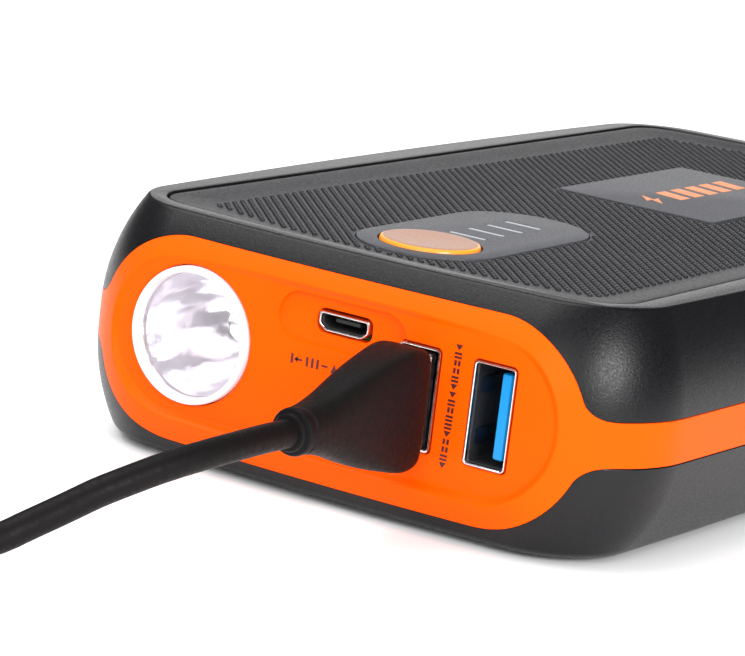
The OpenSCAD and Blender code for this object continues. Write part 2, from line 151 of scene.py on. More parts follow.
def finish(name, rgb, rough, grain, bump, mottle, smear=0.08, broad=60.0, depth=0.00004,
           stretch=(1, 1, 1), **shader):
    """Procedural finish: broad colour drift, fine grain bump and uneven gloss."""
    made = bpy.data.materials.new(name)
    made.use_nodes = True
    tree = made.node_tree
    main = tree.nodes["Principled BSDF"]
    for key, value in shader.items():
        main.inputs[key.replace("_", " ")].default_value = value
    where = node(tree, "ShaderNodeTexCoord")
    place = node(tree, "ShaderNodeMapping")
    place.inputs["Scale"].default_value = stretch
    tree.links.new(where.outputs["Object"], place.inputs["Vector"])
    drift = node(tree, "ShaderNodeTexNoise", Scale=broad, Detail=3.0, Roughness=0.6)
    fine = node(tree, "ShaderNodeTexNoise", Scale=grain, Detail=3.0, Roughness=0.65)
    for each in (drift, fine):
        tree.links.new(place.outputs["Vector"], each.inputs["Vector"])
    ramp = node(tree, "ShaderNodeValToRGB")
    ramp.color_ramp.elements[0].position = 0.3
    ramp.color_ramp.elements[1].position = 0.72
    ramp.color_ramp.elements[0].color = [c * (1 - mottle) for c in rgb] + [1]
    ramp.color_ramp.elements[1].color = [min(c * (1 + mottle), 1) for c in rgb] + [1]
    tree.links.new(drift.outputs["Fac"], ramp.inputs["Fac"])
    tree.links.new(ramp.outputs["Color"], main.inputs["Base Color"])
    gloss = node(tree, "ShaderNodeMapRange")
    gloss.inputs["From Min"].default_value = 0.3
    gloss.inputs["From Max"].default_value = 0.7
    gloss.inputs["To Min"].default_value = max(rough - smear, 0.02)
    gloss.inputs["To Max"].default_value = min(rough + smear, 1.0)
    tree.links.new(fine.outputs["Fac"], gloss.inputs["Value"])
    tree.links.new(gloss.outputs["Result"], main.inputs["Roughness"])
    relief = node(tree, "ShaderNodeBump", Strength=bump, Distance=depth)
    tree.links.new(fine.outputs["Fac"], relief.inputs["Height"])
    tree.links.new(relief.outputs["Normal"], main.inputs["Normal"])
    return made


METAL = {"Metallic": 1.0}
BRUSHED = {"stretch": (1, 0.1, 1), "Metallic": 1.0}
FINISHES = {
    # key: (name, colour or its name in the sidebar, roughness, grain, bump, mottle, more)
    "shell": ("Casing plastic", "shell", 0.34, 3400, 0.6, 0.2,
              {"smear": 0.1, "depth": 0.00006, "Specular_IOR_Level": 0.3}),
    "orange": ("Orange plastic", "frame_orange", 0.34, 1800, 0.12, 0.03,
               {"smear": 0.05, "depth": 0.00002, "Specular_IOR_Level": 0.06}),
    "panel": ("Panel plastic", "panel", 0.5, 2200, 0.5, 0.2, {"smear": 0.1, "depth": 0.00005}),
    "plate": ("Plate plastic", "plate", 0.5, 3000, 0.4, 0.08, {"smear": 0.1}),
    "button": ("Button plastic", "button", 0.3, 3200, 0.15, 0.03,
               {"smear": 0.05, "depth": 0.00002}),
    "crown": ("Button crown", "crown", 0.4, 3200, 0.3, 0.05,
              {"depth": 0.00003, "Specular_IOR_Level": 0.6}),
    "rubber": ("Cable rubber", "rubber", 0.55, 1500, 0.35, 0.3,
               {"smear": 0.12, "depth": 0.00005, "Specular_IOR_Level": 0.15}),
    "tongue": ("Tongue plastic", "tongue", 0.4, 1500, 0.1, 0.05, {}),
    "steel": ("Port steel", (0.82, 0.78, 0.78), 0.2, 900, 0.1, 0.08, BRUSHED),
    "dark_steel": ("Screw steel", (0.2, 0.2, 0.22), 0.35, 1200, 0.3, 0.2, METAL),
    # The reflector's slight emission is a painted glow, not a lamp: it brightens the bowl.
    "mirror": ("Reflector", (0.93, 0.91, 0.96), 0.12, 500, 0.35, 0.03,
               {"smear": 0.06, "broad": 160, "depth": 0.00008, "Metallic": 1.0,
                "Emission_Color": (1.0, 0.95, 1.0, 1), "Emission_Strength": 0.15}),
    "glass": ("Clear lens", (1.0, 0.985, 1.0), 0.04, 500, 0.04, 0.01,
              {"smear": 0.02, "Transmission_Weight": 1.0, "IOR": 1.46}),
    "ring": ("Lens ring", (0.95, 0.88, 0.92), 0.22, 900, 0.05, 0.03,
             {"smear": 0.04, "Transmission_Weight": 0.2, "IOR": 1.46}),
    "emitter": ("Lamp emitter", (1.0, 0.93, 0.7), 0.4, 1500, 0.1, 0.05, {}),
    "bars": ("Light bars", (0.26, 0.27, 0.3), 0.4, 1800, 0.1, 0.05, {}),
    "board": ("Board laminate", (0.005, 0.09, 0.02), 0.4, 700, 0.3, 0.35, {"broad": 350}),
    "black": ("Black insert", (0.02, 0.02, 0.022), 0.45, 1600, 0.2, 0.2, {}),
    "white": ("White insert", (0.8, 0.8, 0.78), 0.4, 1400, 0.1, 0.05, {}),
    "brass": ("Brass", (0.82, 0.58, 0.24), 0.25, 900, 0.2, 0.12, BRUSHED),
    "nickel": ("Nickel", (0.7, 0.69, 0.66), 0.28, 900, 0.2, 0.1, METAL),
    "foil": ("Cell foil", (0.55, 0.56, 0.6), 0.33, 300, 0.6, 0.1,
             {"smear": 0.12, "depth": 0.0002, "Metallic": 0.9}),
    "foam": ("Cell foam", (0.05, 0.055, 0.065), 0.9, 900, 1.0, 0.3, {"depth": 0.0002}),
    "red": ("Red lead", (0.5, 0.015, 0.015), 0.5, 1200, 0.2, 0.12, {}),
    "black_lead": ("Black lead", (0.015, 0.015, 0.017), 0.5, 1200, 0.2, 0.2, {}),
    "foot": ("Foot rubber", (0.018, 0.018, 0.018), 0.75, 1500, 0.8, 0.25, {"depth": 0.00008}),
    "cover": ("Cover rubber", (0.02, 0.02, 0.022), 0.6, 1800, 0.5, 0.25, {"depth": 0.00006}),
    "strap": ("Tie strap", (0.02, 0.02, 0.023), 0.85, 1400, 1.0, 0.35,
              {"stretch": (1, 3, 1), "depth": 0.00015}),
    "ink": ("Dark ink", (0.07, 0.006, 0.004), 0.5, 2500, 0.1, 0.2, {}),
    "pale_ink": ("Orange ink", (0.62, 0.2, 0.07), 0.5, 2500, 0.1, 0.12, {}),
    "floor": ("Studio floor", (0.93, 0.93, 0.935), 0.7, 40, 0.02, 0.004,
              {"smear": 0.02, "broad": 6}),
}


MADE = {}


def material(key):
    """The finish of that key, made once; colours named by a word come from the sidebar."""
    if key not in MADE:
        name, rgb, *look, more = FINISHES[key]
        if isinstance(rgb, str):
            rgb = getattr(bpy.context.scene.pack_colours, rgb)
        MADE[key] = finish(name, rgb, *look, **more)
    return MADE[key]


# ---------------------------------------------------------------- mesh helpers

def linked(name, data):
    """New object in the scene."""
    made = bpy.data.objects.new(name, data)
    bpy.context.scene.collection.objects.link(made)
    return made


def piece(name, verts, faces, finish_key, smooth=True, angle=32.0):
    """A mesh object from points in millimetres, with faces turned outwards."""
    mesh = bpy.data.meshes.new(name)
    mesh.from_pydata([[c * MM for c in v] for v in verts], [], faces)
    mesh.validate()
    made = linked(name, mesh)
    outward(made)
    dress(made, finish_key, smooth, angle)
    return made


def outward(thing):
    """Merges double points and turns the faces outwards."""
    work = bmesh.new()
    work.from_mesh(thing.data)
    bmesh.ops.remove_doubles(work, verts=work.verts, dist=1e-7)
    bmesh.ops.recalc_face_normals(work, faces=work.faces)
    work.to_mesh(thing.data)
    work.free()


def dress(thing, finish_key, smooth=True, angle=32.0):
    """Gives a mesh one finish, shaded smooth up to an angle between its faces."""
    thing.data.materials.clear()
    thing.data.materials.append(material(finish_key))
    if smooth:
        thing.data.shade_smooth()
        thing.data.set_sharp_from_angle(angle=math.radians(angle))


def rings_piece(name, rings, finish_key, closed=False, **more):
    """Skin through rings of equal count, capped at both ends unless it closes on itself."""
    count = len(rings[0])
    verts = [v for ring in rings for v in ring]
    faces = []
    spans = len(rings) if closed else len(rings) - 1
    for k in range(spans):
        a, b = k * count, ((k + 1) % len(rings)) * count
        for i in range(count):
            j = (i + 1) % count
            faces.append((a + i, a + j, b + j, b + i))
    if not closed:
        faces.append(tuple(range(count)))
        faces.append(tuple(range(len(verts) - count, len(verts))))
    return piece(name, verts, faces, finish_key, **more)


def joined(name, parts, finish_key):
    """One object from several, in order."""
    work = bmesh.new()
    for part in parts:
        work.from_mesh(part.data)
    mesh = bpy.data.meshes.new(name)
    work.to_mesh(mesh)
    work.free()
    for part in parts:
        discard(part)
    made = linked(name, mesh)
    dress(made, finish_key)
    return made


def discard(thing):
    """Removes an object, and its mesh if nothing else uses it."""
    mesh = thing.data
    bpy.data.objects.remove(thing)
    if mesh.users == 0:
        bpy.data.meshes.remove(mesh)


def settle(thing):
    """Replaces an object's mesh with its evaluated one and drops the modifiers."""
    graph = bpy.context.evaluated_depsgraph_get()
    graph.update()
    fresh = bpy.data.meshes.new_from_object(thing.evaluated_get(graph))
    old = thing.data
    thing.modifiers.clear()
    thing.data = fresh
    if old.users == 0:
        bpy.data.meshes.remove(old)


def cut(thing, tools, operation="DIFFERENCE"):
    """Applies a Boolean step for every tool, then removes the tools."""
    for tool in tools:
        step = thing.modifiers.new("cut", "BOOLEAN")
        step.operation = operation
        step.solver = "MANIFOLD"
        step.object = tool
    settle(thing)
    if len(thing.data.polygons) == 0:
        raise RuntimeError(thing.name + ": the cut left nothing")
    for tool in tools:
        discard(tool)


def disc(cx, cy, r, steps):
    """Points of a full circle."""
    return [(cx + r * math.cos(t), cy + r * math.sin(t))
            for t in (2 * math.pi * k / steps for k in range(steps))]


def arc(cx, cy, r, start, steps=18, sweep=90.0):
    """Points along an arc, with both ends; angles in degrees."""
    return [(cx + r * math.cos(math.radians(start + sweep * i / steps)),
             cy + r * math.sin(math.radians(start + sweep * i / steps)))
            for i in range(steps + 1)]


def eased(t):
    """Smooth step from 0 to 1."""
    t = min(max(t, 0), 1)
    return t * t * (3 - 2 * t)


def spread(p, q, count):
    """Points between p and q, without their ends."""
    return [(p[0] + (q[0] - p[0]) * i / (count + 1), p[1] + (q[1] - p[1]) * i / (count + 1))
            for i in range(1, count + 1)]


def plan(w, l, r, along=26, across=20, steps=18):
    """Rounded rectangle of half sizes w and l, anticlockwise from the front right corner."""
    return (arc(w - r, r - l, r, -90, steps) + spread((w, r - l), (w, l - r), along)
            + arc(w - r, l - r, r, 0, steps) + spread((w - r, l), (r - w, l), across)
            + arc(r - w, l - r, r, 90, steps) + spread((-w, l - r), (-w, r - l), along)
            + arc(r - w, r - l, r, 180, steps) + spread((r - w, -l), (w - r, -l), across))


def rounded_box_outline(w, h, r, cx=0.0, cz=0.0, steps=6):
    """Small rounded rectangle of full sizes, as points."""
    half = plan(w / 2, h / 2, r, 0, 0, steps)
    return [(cx + x, cz + z) for x, z in half]


def stadium(half_l, half_h, cz, steps=36, straight=24):
    """Level stadium outline, anticlockwise from the lower end of its right round."""
    flat = half_l - half_h
    return (arc(flat, cz, half_h, -90, steps, 180)
            + spread((flat, cz + half_h), (-flat, cz + half_h), straight)
            + arc(-flat, cz, half_h, 90, steps, 180)
            + spread((-flat, cz - half_h), (flat, cz - half_h), straight))


def facing_rings(outlines, ys):
    """Rings in planes across Y: outlines hold (x, height in the casing)."""
    return [[(x, y, z + FEET) for x, z in outline] for outline, y in zip(outlines, ys)]


def prism(outline, y0, y1, finish_key="black"):
    """Cutting tool across Y."""
    return rings_piece("tool", facing_rings([outline, outline], [y0, y1]), finish_key)


def upright(outline, z0, z1, finish_key="black"):
    """Cutting tool along Z."""
    return rings_piece("tool", stacked([(outline, z0), (outline, z1)]), finish_key)


def stacked(outlines):
    """Level rings from pairs of an outline and its height in the casing."""
    return [[(x, y, z + FEET) for x, y in outline] for outline, z in outlines]


def grown(outline, amount):
    """Outline moved outwards by amount; the outline runs anticlockwise."""
    moved = []
    count = len(outline)
    for i, here in enumerate(outline):
        before, after = outline[i - 1], outline[(i + 1) % count]
        dx, dy = after[0] - before[0], after[1] - before[1]
        size = math.hypot(dx, dy) or 1.0
        moved.append((here[0] + dy / size * amount, here[1] - dx / size * amount))
    return moved


def spin(centre, axis):
    """Places (radius, distance, angle) about an axis through centre. Along Y the distance
    counts towards the front, along Z it counts upwards."""
    def put(r, d, t):
        c, s = math.cos(t), math.sin(t)
        if axis == "y":
            return (centre[0] + r * c, -d, centre[2] + r * s)
        return (centre[0] + r * c, centre[1] + r * s, d)
    return put


def lathe(name, profile, centre, finish_key, steps=72):
    """Turns a closed profile of (radius, distance) pairs about Y."""
    put = spin(centre, "y")
    rings = [[put(r, d, 2 * math.pi * k / steps) for r, d in profile] for k in range(steps)]
    return rings_piece(name, rings, finish_key, closed=True)


def turned(name, profile, centre, finish_key, steps=72, axis="y"):
    """Turns a profile that starts and ends on the axis, closing it at both poles."""
    inner = profile[1:-1]
    count = len(inner)
    put = spin(centre, axis)
    verts = [put(r, d, 2 * math.pi * k / steps) for k in range(steps) for r, d in inner]
    first, last = len(verts), len(verts) + 1
    verts += [put(0, profile[0][1], 0), put(0, profile[-1][1], 0)]
    faces = []
    for k in range(steps):
        a, b = k * count, ((k + 1) % steps) * count
        faces += [(a + i, a + i + 1, b + i + 1, b + i) for i in range(count - 1)]
        faces.append((first, a, b))
        faces.append((last, b + count - 1, a + count - 1))
    return piece(name, verts, faces, finish_key)


def smooth_path(points, step):
    """Catmull-Rom spline through points, resampled at about step millimetres."""
    knots = [Vector(p) for p in points]
    knots = [knots[0] * 2 - knots[1]] + knots + [knots[-1] * 2 - knots[-2]]
    fine = []
    for k in range(1, len(knots) - 2):
        a, b, c, d = knots[k - 1:k + 3]
        parts = max(2, int((c - b).length / step + 0.5))
        for i in range(parts):
            t = i / parts
            fine.append(0.5 * ((2 * b) + (c - a) * t + (2 * a - 5 * b + 4 * c - d) * t * t
                               + (3 * b - a - 3 * c + d) * t ** 3))
    fine.append(knots[-2])
    return fine


def tube_rings(path, radius, sides=20):
    """Rings about a path, carried along without twist."""
    rings = []
    side = None
    for i, here in enumerate(path):
        ahead = path[min(i + 1, len(path) - 1)] - path[max(i - 1, 0)]
        ahead.normalize()
        if side is None:
            side = ahead.cross(Vector((0, 0, 1))).normalized()
        side = (side - ahead * side.dot(ahead)).normalized()
        up = ahead.cross(side)
        rings.append([here + (side * math.cos(2 * math.pi * k / sides)
                              + up * math.sin(2 * math.pi * k / sides)) * radius
                      for k in range(sides)])
    return rings


# ---------------------------------------------------------------- the casing's form

def lean(z):
    """How far the sides lean in at a height, above and below the upright band."""
    z = np.asarray(z, float)
    high = HIGH_ARC - np.sqrt(np.maximum(HIGH_ARC ** 2 - np.maximum(z - LEAN_HIGH, 0) ** 2, 0))
    low = LOW_ARC - np.sqrt(np.maximum(LOW_ARC ** 2 - np.maximum(LEAN_LOW - z, 0) ** 2, 0))
    return high + low


def rolled(z):
    """How far the bottom edge is rolled in."""
    gap = np.clip(BOTTOM_ROUND - np.asarray(z, float), 0, BOTTOM_ROUND)
    return BOTTOM_ROUND - np.sqrt(BOTTOM_ROUND ** 2 - gap ** 2)


def section(z, off=0.0):
    """Half width, half length and corner radius at a height."""
    share = np.where(np.asarray(z) > LEAN_HIGH, END_SHARE_HIGH, END_SHARE_LOW)
    w = HALF_W - lean(z) - rolled(z) - off
    l = HALF_L - lean(z) * share - rolled(z) - off
    r = np.maximum(CORNER_R - 1.2 * lean(z) - off, 3.0)
    return w, l, r


def ring_at(z, off=0.0, **counts):
    """The casing's bowed outline at a height, moved inwards by off."""
    w, l, r = (float(v) for v in section(z, off))
    return [(x * (1 - SIDE_BOW / w * (y / l) ** 2), y * (1 - END_BOW / l * (x / w) ** 2),
             z + FEET) for x, y in plan(w, l, r, **counts)]


def skin(x, y, z):
    """Distance-like value, zero on the casing's outer surface and positive outside."""
    w, l, r = section(z)
    px, py = x, y
    for _ in range(4):
        px = x / (1 - SIDE_BOW / w * (py / l) ** 2)
        py = y / (1 - END_BOW / l * (px / w) ** 2)
    qx, qy = np.abs(px) - (w - r), np.abs(py) - (l - r)
    return (np.hypot(np.maximum(qx, 0), np.maximum(qy, 0))
            + np.minimum(np.maximum(qx, qy), 0) - r)


def front_y(x, z):
    """Distance of the casing's front surface from the middle, at x and height z."""
    x, z = np.asarray(x, float), np.asarray(z, float)
    low, high = np.full(x.shape, 40.0), np.full(x.shape, 90.0)
    for _ in range(40):
        middle = (low + high) / 2
        outside = skin(x, middle, z) > 0
        high = np.where(outside, middle, high)
        low = np.where(outside, low, middle)
    return (low + high) / 2


def skin_normals(thing, reach=0.03, agree=0.9):
    """Shades the parts of a mesh that lie on the casing's surface by that surface."""
    mesh = thing.data
    places = np.empty(len(mesh.vertices) * 3)
    mesh.vertices.foreach_get("co", places)
    x, y, z = (places.reshape(-1, 3) / MM).T
    z = z - FEET
    h = 0.02
    slope = np.stack([skin(x + h, y, z) - skin(x - h, y, z),
                      skin(x, y + h, z) - skin(x, y - h, z),
                      skin(x, y, z + h) - skin(x, y, z - h)], 1)
    slope /= np.linalg.norm(slope, axis=1)[:, None] + 1e-12
    near = np.abs(skin(x, y, z)) < reach
    normals = [n.vector.copy() for n in mesh.corner_normals]
    for face in mesh.polygons:
        flat = np.array(face.normal)
        for corner in face.loop_indices:
            v = mesh.loops[corner].vertex_index
            if near[v] and flat @ slope[v] > agree:
                normals[corner] = Vector(slope[v])
    mesh.normals_split_custom_set(normals)


def barrel(name, levels, finish_key="shell", **counts):
    """Closed solid of the casing's form. Levels are pairs of height and inset."""
    return rings_piece(name, [ring_at(z, off, **counts) for z, off in levels], finish_key)


def heights(low, high, step=0.5):
    """Even levels from low to high, about a step apart."""
    count = max(2, int(round((high - low) / step)))
    return [low + (high - low) * i / count for i in range(count + 1)]


def flare(side_z, steps=10):
    """Concave fillet between the racetrack's right end and the band, from the track out."""
    half_l, half_h, mid_z = RACE
    flat = half_l - half_h
    cz = (BAND[1] if side_z > 0 else BAND[0]) + side_z * FLARE_R
    cx = flat + math.sqrt((half_h + FLARE_R) ** 2 - (cz - mid_z) ** 2)
    start = math.atan2(mid_z - cz, flat - cx)
    sweep = (-side_z * math.pi / 2 - start + math.pi) % (2 * math.pi) - math.pi
    return [(cx + FLARE_R * math.cos(start + sweep * i / steps),
             cz + FLARE_R * math.sin(start + sweep * i / steps)) for i in range(steps + 1)]


def race_outline(grow, end_x):
    """Racetrack that flares out into the band at each side, anticlockwise."""
    half_l, half_h, mid_z = RACE
    flat = half_l - half_h

    def track(start, end, steps=30):
        a = math.atan2(start[1] - mid_z, start[0] - flat)
        b = math.atan2(end[1] - mid_z, end[0] - flat)
        return [(flat + half_h * math.cos(a + (b - a) * i / steps),
                 mid_z + half_h * math.sin(a + (b - a) * i / steps)) for i in range(1, steps)]

    bottom, top = (flat, mid_z - half_h), (flat, mid_z + half_h)
    low, high = flare(-1), flare(1)[::-1]
    right = [bottom] + track(bottom, low[0]) + low
    right += spread(low[-1], (end_x, BAND[0]), 2)
    right += [(end_x, z) for z in heights(*BAND, 0.6)]
    right += spread((end_x, BAND[1]), high[0], 2) + high
    right += track(high[-1], top) + [top]
    left = [(-x, z) for x, z in reversed(right)]
    straight = 24
    outline = (right + spread(top, left[0], straight)
               + left + spread(left[-1], bottom, straight))
    return grown(outline, grow) if grow else outline


def top_outline(grow):
    """Outline of the top's recess, with straight sides and bowed ends."""
    w, l = TOP_HALF_W + grow, TOP_HALF_L + grow
    return [(x, y * (1 - END_BOW / TOP_HALF_L * (x / TOP_HALF_W) ** 2))
            for x, y in plan(w, l, TOP_R + grow, 30, 20, 14)]


def pill(w, l, y0, steps=28):
    """Upright pill outline of full width and length whose front end is at y0."""
    r = w / 2
    return arc(0, y0 + r, r, 180, steps, 180) + arc(0, y0 + l - r, r, 0, steps, 180)


# ---------------------------------------------------------------- repeats by Geometry Nodes

def repeat_tree(name, sockets, shape_kind):
    """Tree that puts a shape on every point, makes it real and gives it its material.
    Returns the tree, its nodes and the identifiers of its named inputs."""
    tree = bpy.data.node_groups.new(name, "GeometryNodeTree")
    face = tree.interface
    face.new_socket(name="Geometry", in_out="INPUT", socket_type="NodeSocketGeometry")
    keys = {}
    for label, kind in {**sockets, "Material": "Material"}.items():
        made = face.new_socket(name=label, in_out="INPUT", socket_type="NodeSocket" + kind)
        keys[label] = made.identifier
    face.new_socket(name="Geometry", in_out="OUTPUT", socket_type="NodeSocketGeometry")
    kinds = ("NodeGroupInput", shape_kind, "GeometryNodeInstanceOnPoints",
             "GeometryNodeRealizeInstances", "GeometryNodeSetMaterial", "NodeGroupOutput")
    start, shape, place, real, paint, end = (tree.nodes.new(kind) for kind in kinds)
    link = tree.links.new
    link(start.outputs["Geometry"], place.inputs["Points"])
    link(place.outputs["Instances"], real.inputs["Geometry"])
    link(real.outputs["Geometry"], paint.inputs["Geometry"])
    link(start.outputs["Material"], paint.inputs["Material"])
    link(paint.outputs["Geometry"], end.inputs["Geometry"])
    return tree, keys, start, shape, place


def dots_tree():
    """Raised dots: low truncated cones whose sizes are inputs."""
    sockets = {"Base Radius": "Float", "Top Radius": "Float", "Height": "Float", "Sides": "Int"}
    tree, keys, start, cone, place = repeat_tree("Raised dots", sockets,
                                                 "GeometryNodeMeshCone")
    smooth = tree.nodes.new("GeometryNodeSetShadeSmooth")
    for label, target in (("Sides", "Vertices"), ("Top Radius", "Radius Top"),
                          ("Base Radius", "Radius Bottom"), ("Height", "Depth")):
        tree.links.new(start.outputs[label], cone.inputs[target])
    tree.links.new(cone.outputs["Mesh"], smooth.inputs["Geometry"])
    tree.links.new(smooth.outputs["Geometry"], place.inputs["Instance"])
    return tree, keys


def copies_tree():
    """Copies of one object's mesh, with their size as an input."""
    sockets = {"Shape": "Object", "Size": "Float"}
    tree, keys, start, shape, place = repeat_tree("Copies of a shape", sockets,
                                                  "GeometryNodeObjectInfo")
    tree.links.new(start.outputs["Shape"], shape.inputs["Object"])
    tree.links.new(shape.outputs["Geometry"], place.inputs["Instance"])
    tree.links.new(start.outputs["Size"], place.inputs["Scale"])
    return tree, keys


def spots(name, points):
    """Object of loose points."""
    mesh = bpy.data.meshes.new(name)
    mesh.from_pydata([[c * MM for c in p] for p in points], [], [])
    return linked(name, mesh)


def repeat(name, points, builder, finish_key, **inputs):
    """Points in millimetres turned into real copies by a Geometry Nodes tree."""
    tree, keys = builder()
    made = spots(name, points)
    step = made.modifiers.new("repeat", "NODES")
    step.node_group = tree
    for label, value in inputs.items():
        step[keys[label.replace("_", " ")]] = value
    step[keys["Material"]] = material(finish_key)
    settle(made)
    if len(made.data.polygons) == 0:
        raise RuntimeError(name + ": nothing was repeated")
    return made


def copies(name, points, shape, finish_key):
    """Copies of a shape on every point; the shape itself is removed."""
    made = repeat(name, points, copies_tree, finish_key, Shape=shape, Size=1.0)
    discard(shape)
    dress(made, finish_key)
    return made


# ---------------------------------------------------------------- fixing pieces to the frame

def hold(thing, body, slot_name, *nodes):
    """Fixes a piece to its body, and hides the CAD nodes it stands for."""
    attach(thing, body)
    if nodes:
        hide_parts(*nodes)


def repaint(node_name, finish_key):
    """Gives a piece that keeps its CAD form a finish."""
    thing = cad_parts[node_name]
    thing.data.materials.clear()
    thing.data.materials.append(material(finish_key))


def extent(node_name):
    """Low and high corner of a CAD node, in millimetres."""
    low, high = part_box(node_name)
    return low / MM, high / MM


def middle(node_name):
    low, high = extent(node_name)
    return (low + high) / 2


def facing(node_name):
    """A node seen from the front: x and casing height of its middle, width and height."""
    low, high = extent(node_name)
    spot = (low + high) / 2
    return spot[0], spot[2] - FEET, high[0] - low[0], high[2] - low[2]


def panel_face():
    """Distance of the recessed face from the middle: the outlets' rims stand 0.1 proud."""
    return -extent("outlet_jack_right")[0][1] - 0.1


# ---------------------------------------------------------------- operators

class Maker(bpy.types.Operator):
    """Base of the pack's operators."""
    bl_options = {"REGISTER"}

    def execute(self, context):
        self.make(context.scene)
        return {"FINISHED"}


class PACK_OT_camera(Maker):
    """Sets up the camera that frames the pack's front corner"""
    bl_idname = "pack.camera"
    bl_label = "Camera"

    place = (218.19, -427.35, 113.60)
    azimuth, elevation, roll = 31.27, 12.30, 7.01
    focal = 162.06

    def make(self, scene):
        a, e, r = (math.radians(v) for v in (self.azimuth, self.elevation, self.roll))
        back = Vector((math.sin(a) * math.cos(e), -math.cos(a) * math.cos(e), math.sin(e)))
        right = Vector((math.cos(a), math.sin(a), 0))
        up = right.cross(-back)
        across = right * math.cos(r) + up * math.sin(r)
        upward = up * math.cos(r) - right * math.sin(r)
        lens = bpy.data.cameras.new("Camera")
        lens.lens = self.focal
        lens.sensor_width = 36
        lens.clip_start, lens.clip_end = 0.01, 20
        made = linked("Camera", lens)
        turn = Matrix((across, upward, back)).transposed().to_4x4()
        made.matrix_world = Matrix.Translation(Vector(self.place) * MM) @ turn
        scene.camera = made


class PACK_OT_cable(Maker):
    """Makes the charging cable: cord, coil, collar, grip, tie and far plug"""
    bl_idname = "pack.cable"
    bl_label = "Charging cable"

    # distance from the grip's face, half height, half thickness
    grip_form = ((0, 6.9, 3.05), (0.3, 7.25, 3.4), (0.8, 7.55, 3.65), (2.5, 7.85, 3.8),
                 (4.5, 7.72, 3.82), (7.3, 7.2, 3.8), (10, 6.6, 3.72), (12.6, 5.9, 3.6),
                 (15.2, 5.05, 3.42), (17.7, 4.15, 3.2), (19.6, 3.6, 3.05), (21.2, 3.2, 2.95),
                 (22.8, 2.95, 2.85), (23.4, 2.85, 2.75), (23.6, 2.6, 2.5))
    grip_face = -80.0
    plug_z = 16.05
    collar_form = ((0, 0.2), (2.5, 0.2), (2.85, 0), (2.95, -0.25), (2.95, -1.05),
                   (2.8, -1.35), (2.35, -1.45), (2.3, -1.9), (2.2, -2.1), (1.7, -2.2),
                   (0, -2.2))

    def coil(self):
        """Turns of the coil, which climb and change lanes as they go round."""
        points = []
        total = int(COIL_SWEEP / 6)         # one point every six degrees
        for i in range(total + 1):
            swept = COIL_SWEEP * i / total
            r, z = COIL_LANES[0]
            for k, (now, nxt) in enumerate(zip(COIL_LANES, COIL_LANES[1:])):
                t = eased((swept - LANE_STEP * k - LANE_FIRST) / LANE_BLEND)
                r += (nxt[0] - now[0]) * t
                z += (nxt[1] - now[1]) * t
            turn = math.radians(COIL_START - swept)
            points.append((COIL_CENTRE[0] + r * math.cos(turn),
                           COIL_CENTRE[1] + r * math.sin(turn), z))
        return points

    def make(self, scene):
        sizes = scene.pack_sizes
        route = smooth_path(CORD_ROUTE + tuple(self.coil()) + TAIL_ROUTE, 1.5)
        cord = rings_piece("charging_cord", tube_rings(route, sizes.cord_diameter / 2 / MM),
                           "rubber", angle=60)
        hold(cord, "cable", "cord_rubber", "charge_cord", "cord_coil", "cord_tail")

        grip = self.grip()
        hold(grip, "cable", "cord_rubber", "plug_grip")

        neck = extent("cord_collar")[1][1]
        profile = [(r, -(neck + d)) for r, d in self.collar_form]
        collar = turned("collar", profile, (CORD_ROUTE[0][0], 0, self.plug_z + FEET), "rubber")
        hold(collar, "cable", "cord_rubber", "cord_collar")

        strap = self.tie()
        hold(strap, "cable", "tie_strap", "cord_tie")
        for name, look in (("plug_shell", "steel"), ("plug_insert", "white"),
                           ("far_plug_tip", "steel"), ("far_plug_grip", "rubber")):
            repaint(name, look)

    def grip(self):
        """Grip of rounded-square sections that turn round towards its neck."""
        x, z = middle("outlet_jack_left")[0], self.plug_z + FEET
        rings = []
        for away, half_h, half_t in smooth_path(self.grip_form, 0.5):
            power = 0.28 + 0.58 * min(max((away - 4) / 18, 0), 1)
            rings.append([(x + half_t * math.copysign(abs(c) ** power, c),
                           self.grip_face - away,
                           z + half_h * math.copysign(abs(s) ** power, s))
                          for c, s in disc(0, 0, 1, 64)])
        return rings_piece("grip", rings, "rubber", angle=50)

    def tie(self):
        """A soft strap round the coil's turns, four millimetres wide."""
        low, high = extent("cord_tie")
        cx, top = (low[0] + high[0]) / 2, high[2] - 0.4
        outline = plan((high[0] - low[0]) / 2 - 0.3, top / 2 - 0.05, 2.4, 4, 4, 8)
        rings = []
        for x, z in outline:
            size = math.hypot(x, z)
            inward = (-x / size * 0.45, -z / size * 0.45)
            px, pz = cx + x, z + top / 2 + 0.1
            y0, y1 = low[1] + 0.1, high[1] - 0.1
            rings.append([(px, y0, pz), (px, y1, pz),
                          (px + inward[0], y1, pz + inward[1]),
                          (px + inward[0], y0, pz + inward[1])])
        return rings_piece("coil_tie", rings, "strap", closed=True)


